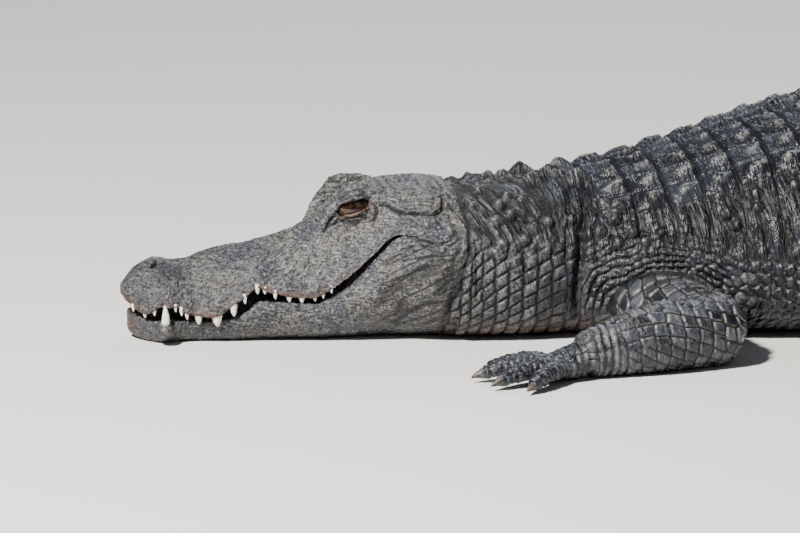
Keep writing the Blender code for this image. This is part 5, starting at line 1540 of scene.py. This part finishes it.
def build_teeth(ivory):
    """The upper teeth down both sides, and the great fang of the lower jaw on each."""
    forms = []
    for hand in (1, -1):
        for s, length, width in UPPER_TEETH:
            root = float(mouth_height(s)) + 0.001
            if hermite(JAW_INSET, s) < TOOTH_INSET + width / 2:
                length = min(length, root - float(hermite(LOWER_LIP, s)) - 2 * GAP)
            inset = max(TOOTH_INSET, width / 2 + 0.0018)
            forms.append(tooth_form(s, hand * (float(lip_half(s)) - inset), root, length, width, 0.06))
        s, length, width = LOWER_FANG
        side, root = float(lip_half(s)) + FANG_OUTSET, float(jaw_outline(s)[1][0])
        knots = [place(s - before, hand * (side + out), root + up) for before, out, up in (
            (0.0, -0.010, -TOOTH_ROOT), (0.0, 0.0, 0.003), (0.0, 0.001, length * 0.6), (0.001, 0.0, length))]
        at, share = [0.0, 0.38, 0.72, 1.0], np.linspace(0, 1, 14)
        thick = width * np.interp(share, at, [0.30, 0.46, 0.35, 0.08])
        forms.append(tube_form(curve_through(at, knots, share), thick, 14, flat=False))
    plain_piece("teeth", forms, ivory)


def build_claws(horn):
    """A claw on each toe that has one: a tube that curves down from the toe's end."""
    forms = []
    for name in LIMBS:
        spec, hand, toes, sole = paw_of(name)
        for (root, way), (_, long, fat, claw) in zip(paw_plan(spec, hand, toes, sole)[3], toes):
            if not claw:
                continue
            tip = toe_path(root, way, long, fat)[0][-1] - np.array(way) * fat * 0.9
            share = np.linspace(0, 1, 12)
            path = tip + np.array(way) * (claw * 1.12 * share)[:, None]
            path[:, 2] += claw * (0.16 * share - 0.38 * share**2)
            forms.append(tube_form(path, fat * np.interp(share, [0, 0.4, 0.8, 1], [0.62, 0.54, 0.26, 0.06]), 12))
    plain_piece("claws", forms, horn)


def blade_form(s, long, arc, height, hand):
    """One crest scute: a fin that rises backward to a point, thin at its edge and flared at its root."""
    share, around = np.linspace(0, 1, 16), np.linspace(-1, 1, 15)
    tall_share = np.sin(np.clip(share / 0.86, 0, 1) * math.pi / 2) ** 1.1 * (1 - smooth(share, 0.86, 1.0) * 0.92)
    rings = []
    for u, r in zip(share, np.clip(tall_share, 0.04, 1)):
        here = s + (u - 0.5) * long
        y, z, normal = at_arc(body_outline(min(here, TOTAL_LENGTH - 0.002)), arc)
        up = normal * 0.35 + np.array([0.0, 1.0])
        up /= np.linalg.norm(up)
        tall = (height * r + 0.004) * (1 - np.abs(around)) ** 0.8 - 0.004
        wide = np.sign(around) * CREST_HALF_THICK * (0.12 + 0.88 * np.abs(around) ** 1.6) * (0.55 + 0.45 * r)
        back = np.clip(tall, 0, None) * CREST_LEAN * 1.2
        rings.append(place(np.minimum(here + back, TOTAL_LENGTH - CREST_STOP),
                           hand * (y + up[1] * wide + up[0] * tall), z - up[0] * wide + up[1] * tall))
    return loft(rings)


def build_crests(hide):
    """The tail's crests: a pair of blades on each whorl, then one."""
    forms = []
    for whorl, (start, end) in enumerate(zip(WHORL_EDGES[:-1], WHORL_EDGES[1:])):
        s, long = (start + end) / 2, (end - start) * 1.02
        varied = 0.94 + 0.12 * float(hashed(91, np.array(whorl)))
        height = float(hermite(CREST_HEIGHT, end - long * 0.2)) * varied
        paired = whorl < 2 * WHORLS_A_LENGTH
        arc = float(hermite(CREST_ARC, s)) if paired else 0.0
        forms += [blade_form(s, long, arc, height, hand) for hand in ((1, -1) if paired else (1,))]
    nodes = ("tail_base", "tail_front", "tail_rear", "tail_tip")
    mesh = plain_piece("tail_crests", forms, hide, nodes).data
    co = points_of(mesh)
    s, side = along_spine(co)
    marks = blank_marks(len(co))
    # The crests are paler by the wear mark, partly worn skin and partly painted highlight, and carry a little
    # painted shade
    for key, value in (("tone", 0.5), ("wear", 0.35), ("shade", 0.1), ("run", s), ("round", side + co[:, 2])):
        marks[key] += value
    for key, value in marks.items():
        write_mark(mesh, key, value)


def build_eyes(wet):
    """A ball for each eye, marked by how far round it each point lies from the look, above it and along it."""
    for hand, name in ((1, "left"), (-1, "right")):
        look = head_direction((EYE_LOOK[0], hand * EYE_LOOK[1], EYE_LOOK[2])).normalized()
        form = ball_form(eye_place(hand), EYE_RADIUS - 0.0002, (1, 1, 1), turned(look), 64, 96)
        mesh = plain_piece(f"eyeball_{name}", [form], wet, (f"eye_{name}",)).data
        offset = (points_of(mesh) - np.array(eye_place(hand))) / EYE_RADIUS
        up = np.array([0, 0, 1.0]) - np.array(look) * look.z
        up /= np.linalg.norm(up)
        for key, axis in (("look", np.array(look)), ("rise", up), ("along", np.cross(up, look))):
            write_mark(mesh, key, offset @ axis)


class Wire:
    """A socket of a material whose sums and products add Math nodes."""

    def __init__(self, paint, socket):
        self.paint, self.socket = paint, socket

    def __add__(self, other):
        return self.paint.math("ADD", self, other)

    def __sub__(self, other):
        return self.paint.math("SUBTRACT", self, other)

    def __rsub__(self, other):
        return self.paint.math("SUBTRACT", other, self)

    def __mul__(self, other):
        return self.paint.math("MULTIPLY", self, other)

    __radd__, __rmul__ = __add__, __mul__


class Paint:
    """A material and the nodes that colour it."""

    def __init__(self, name):
        self.made = bpy.data.materials.new(name)
        self.made.use_nodes = True
        self.tree = self.made.node_tree
        self.shader = self.tree.nodes["Principled BSDF"]

    def node(self, kind, settings, inputs, output=0):
        """A new node with its settings and inputs; gives one of its outputs."""
        made = self.tree.nodes.new(kind)
        for key, value in settings.items():
            setattr(made, key, value)
        for key, value in inputs.items():
            self.set(made.inputs[key], value)
        return Wire(self, made.outputs[output])

    def set(self, socket, value):
        """Links a wire to a socket, or sets a constant on it."""
        if isinstance(value, Wire):
            self.tree.links.new(value.socket, socket)
        elif isinstance(value, tuple):
            socket.default_value = (*value, 1.0)
        else:
            socket.default_value = value

    def math(self, operation, *values):
        """One Math node."""
        return self.node("ShaderNodeMath", {"operation": operation}, dict(enumerate(values)))

    def mark(self, name):
        """A number that is stored on the points."""
        return self.node("ShaderNodeAttribute", {"attribute_name": name}, {}, "Fac")

    def mix(self, share, a, b):
        """From colour a to colour b by a share."""
        return self.node("ShaderNodeMix", {"data_type": "RGBA"}, {0: share, 6: a, 7: b}, 2)

    def band(self, value, low, high):
        """0 to 1 as a value goes from low to high, eased."""
        return self.node("ShaderNodeMapRange", {"interpolation_type": "SMOOTHSTEP"},
                         {"Value": value, "From Min": low, "From Max": high})

    def noise(self, scale, detail=3.0, rough=0.55, where=None):
        """Noise in the piece's own space, or at another place."""
        where = where or self.node("ShaderNodeTexCoord", {}, {}, "Object")
        return self.node("ShaderNodeTexNoise", {},
                         {"Vector": where, "Scale": scale, "Detail": detail, "Roughness": rough})

    def drawn(self, along, around, detail, rough):
        """Noise drawn out along the hide: so many waves a metre along the run and round the body."""
        waves = {"X": self.mark("run") * along, "Y": self.mark("round") * around}
        where = self.node("ShaderNodeCombineXYZ", {}, waves)
        return self.noise(1.0, detail, rough, where)

    def finish(self, **inputs):
        """Sets the shader's inputs and gives the material."""
        for key, value in inputs.items():
            self.set(self.shader.inputs[key.replace("_", " ")], value)
        return self.made


def hide_material():
    """Bare, pitted hide where the bone mark is 1 and dark scales where it is 0, rubbed pale and with painted
    highlights where raised; painted shade where marked, darkest in grooves.
    """
    paint = Paint("alligator_hide")
    grain, mottle, cloud = paint.noise(330.0, 3.0, 0.6), paint.noise(120.0, 4.0), paint.noise(24.0)
    bone, groove, tone, wear = (paint.mark(name) for name in ("bone", "groove", "tone", "wear"))
    web, warm, lid, shade, fold = (paint.mark(name) for name in ("web", "warm", "lid", "shade", "fold"))
    streak, scratch = paint.drawn(300.0, 55.0, 2.0, 0.5), paint.drawn(130.0, 420.0, 3.0, 0.6)
    # Fine dark lines along the folds: painted shade in the fine wrinkles, which the bump also dents
    middle = paint.math("ABSOLUTE", paint.drawn(135.0, 17.0, 1.5, 0.5) - 0.5)
    thin = (1.0 - paint.band(middle, 0.012, 0.060)) * fold * (0.55 + 0.45 * paint.band(mottle, 0.30, 0.50))
    shown = paint.band(tone * 0.6 + cloud * 0.6, 0.30, 0.90)
    scale = paint.mix(shown, (0.0050, 0.0062, 0.0105), (0.036, 0.043, 0.058))
    scale = paint.mix(paint.band(streak, 0.55, 0.75) * 0.25, scale, (0.080, 0.081, 0.082))
    # Raised places paler: partly worn skin, partly painted highlight
    worn_and_highlit = wear * paint.band(grain * 0.35 + mottle * 0.35 + streak * 0.45, 0.50, 0.72)
    scale = paint.mix(worn_and_highlit * 0.85, scale, (0.38, 0.375, 0.355))
    bare = paint.mix(tone, (0.056, 0.062, 0.077), (0.100, 0.097, 0.091))
    # Pale flecks on the bare hide: partly pale skin, partly painted highlight
    lit = paint.band(wear * 0.30 + scratch * 0.40 + grain * 0.40, 0.47, 0.80)
    bare = paint.mix(lit * 0.50, bare, (0.30, 0.293, 0.28))
    # Dark dents where the bump is low: partly dark peppering, partly painted shade in the pits
    dents = 1.0 - paint.band(scratch * 0.35 + grain * 0.50 + mottle * 0.15, 0.438, 0.540)
    bare = paint.mix(dents * 0.90, bare, (0.0075, 0.0080, 0.0102))
    patchy = paint.band(mottle, 0.30, 0.60)
    colour = paint.mix(bone, scale, bare)
    # Laid on top: pale web lines, warm stains, the lids' rim, painted shade where the shade mark lies, painted
    # shade in the fine fold lines, and darkest painted shade in the grooves and creases
    for share, laid in ((web * patchy, (0.20, 0.195, 0.175)), (warm * patchy, (0.090, 0.040, 0.018)),
                        (lid * patchy * 0.8, (0.16, 0.075, 0.034)), (shade * 0.85, (0.010, 0.011, 0.015)),
                        (thin * 0.92, (0.0030, 0.0028, 0.0028)), (groove * 0.97, (0.0022, 0.0020, 0.0020))):
        colour = paint.mix(share, colour, laid)
    height = (grain * (0.18 + 0.22 * bone) + mottle * 0.70 + streak * 0.25 * (1.0 - bone) + scratch * 0.36 * bone
              - thin * 0.65)
    normal = paint.node("ShaderNodeBump", {}, {"Strength": 1.0, "Distance": 0.0034, "Height": height})
    rough = 0.18 + 0.22 * mottle + bone * 0.16 + groove * 0.25
    return paint.finish(Base_Color=colour, Roughness=rough, Normal=normal, Specular_IOR_Level=0.36)


def ivory_material():
    """Pale ivory with light brown stains."""
    paint = Paint("tooth_ivory")
    stain = paint.noise(140.0)
    colour = paint.mix(paint.band(stain, 0.45, 0.75) * 0.5, (0.78, 0.76, 0.68), (0.50, 0.43, 0.30))
    return paint.finish(Base_Color=colour, Roughness=0.30 + 0.15 * stain)


def horn_material():
    """Dark horn with paler streaks."""
    paint = Paint("claw_horn")
    streak = paint.noise(220.0)
    colour = paint.mix(paint.band(streak, 0.35, 0.7), (0.020, 0.018, 0.016), (0.085, 0.075, 0.062))
    normal = paint.node("ShaderNodeBump", {}, {"Strength": 0.4, "Distance": 0.0008, "Height": streak})
    return paint.finish(Base_Color=colour, Roughness=0.32 + 0.2 * streak, Normal=normal)


def eye_material():
    """A dark brown iris with an upright slit, with a painted shadow of the upper lid over its top."""
    paint = Paint("wet_eye")
    look, rise, along = paint.mark("look"), paint.mark("rise"), paint.mark("along")
    iris = paint.mix(paint.band(paint.noise(900.0), 0.35, 0.7), (0.010, 0.0036, 0.0018), (0.036, 0.0125, 0.0045))
    slit = along * along * 60.0 + rise * rise * 2.4
    colour = paint.mix((1.0 - paint.band(slit, 0.4, 1.1)) * 0.9, iris, (0.003, 0.003, 0.003))
    # Painted shadow of the upper lid over the top of the eye
    colour = paint.mix(paint.band(rise, 0.06, 0.34) * 0.85, colour, (0.003, 0.002, 0.002))
    colour = paint.mix(1.0 - paint.band(look, 0.62, 0.78), colour, (0.030, 0.014, 0.008))
    return paint.finish(Base_Color=colour, Roughness=0.10, Coat_Weight=0.35)


# The camera stands a little toward the head and a little above, far off, as in the photograph
CAMERA_TURN = math.radians(-13.0)
CAMERA_RISE = math.radians(12.0)
CAMERA_FAR = 9.0
PIXELS_A_METRE = 727.0
FRAME_WIDE = 800.0
SENSOR_WIDE = 36.0
AIM_PLACE = (0.455, 0.0, 0.0)
AIM_PIXEL = (448.0, 324.2)
FRAME_MIDDLE = (400.0, 266.5)
LAMP_AIM = (-0.35, 0.0, 0.12)
FLOOR_HALF = 30.0
FLOOR_DROP = 0.0006


def build_camera():
    """A long lens far off, aimed so that the head's rear lies at the same pixel as in the photograph."""
    turn, rise = (math.cos(CAMERA_TURN), math.sin(CAMERA_TURN)), (math.cos(CAMERA_RISE), math.sin(CAMERA_RISE))
    ahead = Vector((-turn[1] * rise[0], turn[0] * rise[0], -rise[1]))
    right = Vector((*turn, 0))
    up = right.cross(ahead)
    data = bpy.data.cameras.new("camera")
    data.sensor_width = SENSOR_WIDE
    data.lens = PIXELS_A_METRE * CAMERA_FAR / FRAME_WIDE * SENSOR_WIDE
    data.clip_end = 200.0
    camera = bpy.data.objects.new("camera", data)
    matrix = Matrix((right, up, -ahead)).transposed().to_4x4()
    matrix.translation = (Vector(place(*AIM_PLACE)) - right * ((AIM_PIXEL[0] - FRAME_MIDDLE[0]) / PIXELS_A_METRE)
                          + up * ((AIM_PIXEL[1] - FRAME_MIDDLE[1]) / PIXELS_A_METRE) - ahead * CAMERA_FAR)
    camera.matrix_world = matrix
    bpy.context.scene.collection.objects.link(camera)
    bpy.context.scene.camera = camera


def lamp(name, place_at, size, power, colour):
    """A square soft light that looks at the head and shoulders."""
    data = bpy.data.lights.new(name, "AREA")
    data.size, data.energy, data.color = size, power, colour
    made = bpy.data.objects.new(name, data)
    made.location = place_at
    made.rotation_euler = (Vector(LAMP_AIM) - Vector(place_at)).to_track_quat("-Z", "Y").to_euler()
    bpy.context.scene.collection.objects.link(made)


def build_studio():
    """A pale floor just under the animal, a sunny key light, a soft sky and a rim light."""
    corners = [[-1, -1, 0], [1, -1, 0], [1, 1, 0], [-1, 1, 0]]
    floor = thing_from("studio_floor", np.array(corners) * FLOOR_HALF - (0, 0, FLOOR_DROP), [[0, 1, 2, 3]])
    floor.data.materials.append(Paint("pale_floor").finish(Base_Color=(0.66, 0.65, 0.63), Roughness=0.75))
    lamp("key", (-3.4, -2.5, 4.0), 0.5, 940.0, (1.0, 0.965, 0.91))
    lamp("sky", (1.8, -4.2, 3.2), 3.2, 16.0, (0.80, 0.88, 1.0))
    lamp("rim", (1.4, 4.0, 3.4), 2.0, 110.0, (0.86, 0.92, 1.0))
    world = bpy.data.worlds.new("studio_air")
    world.use_nodes = True
    air = world.node_tree.nodes["Background"].inputs
    air["Color"].default_value, air["Strength"].default_value = (0.80, 0.87, 1.0, 1.0), 0.10
    bpy.context.scene.world = world


build_camera()
build_studio()
skin_hide = hide_material()
build_skin(skin_hide)
build_eyes(eye_material())
build_teeth(ivory_material())
build_claws(horn_material())
build_crests(skin_hide)
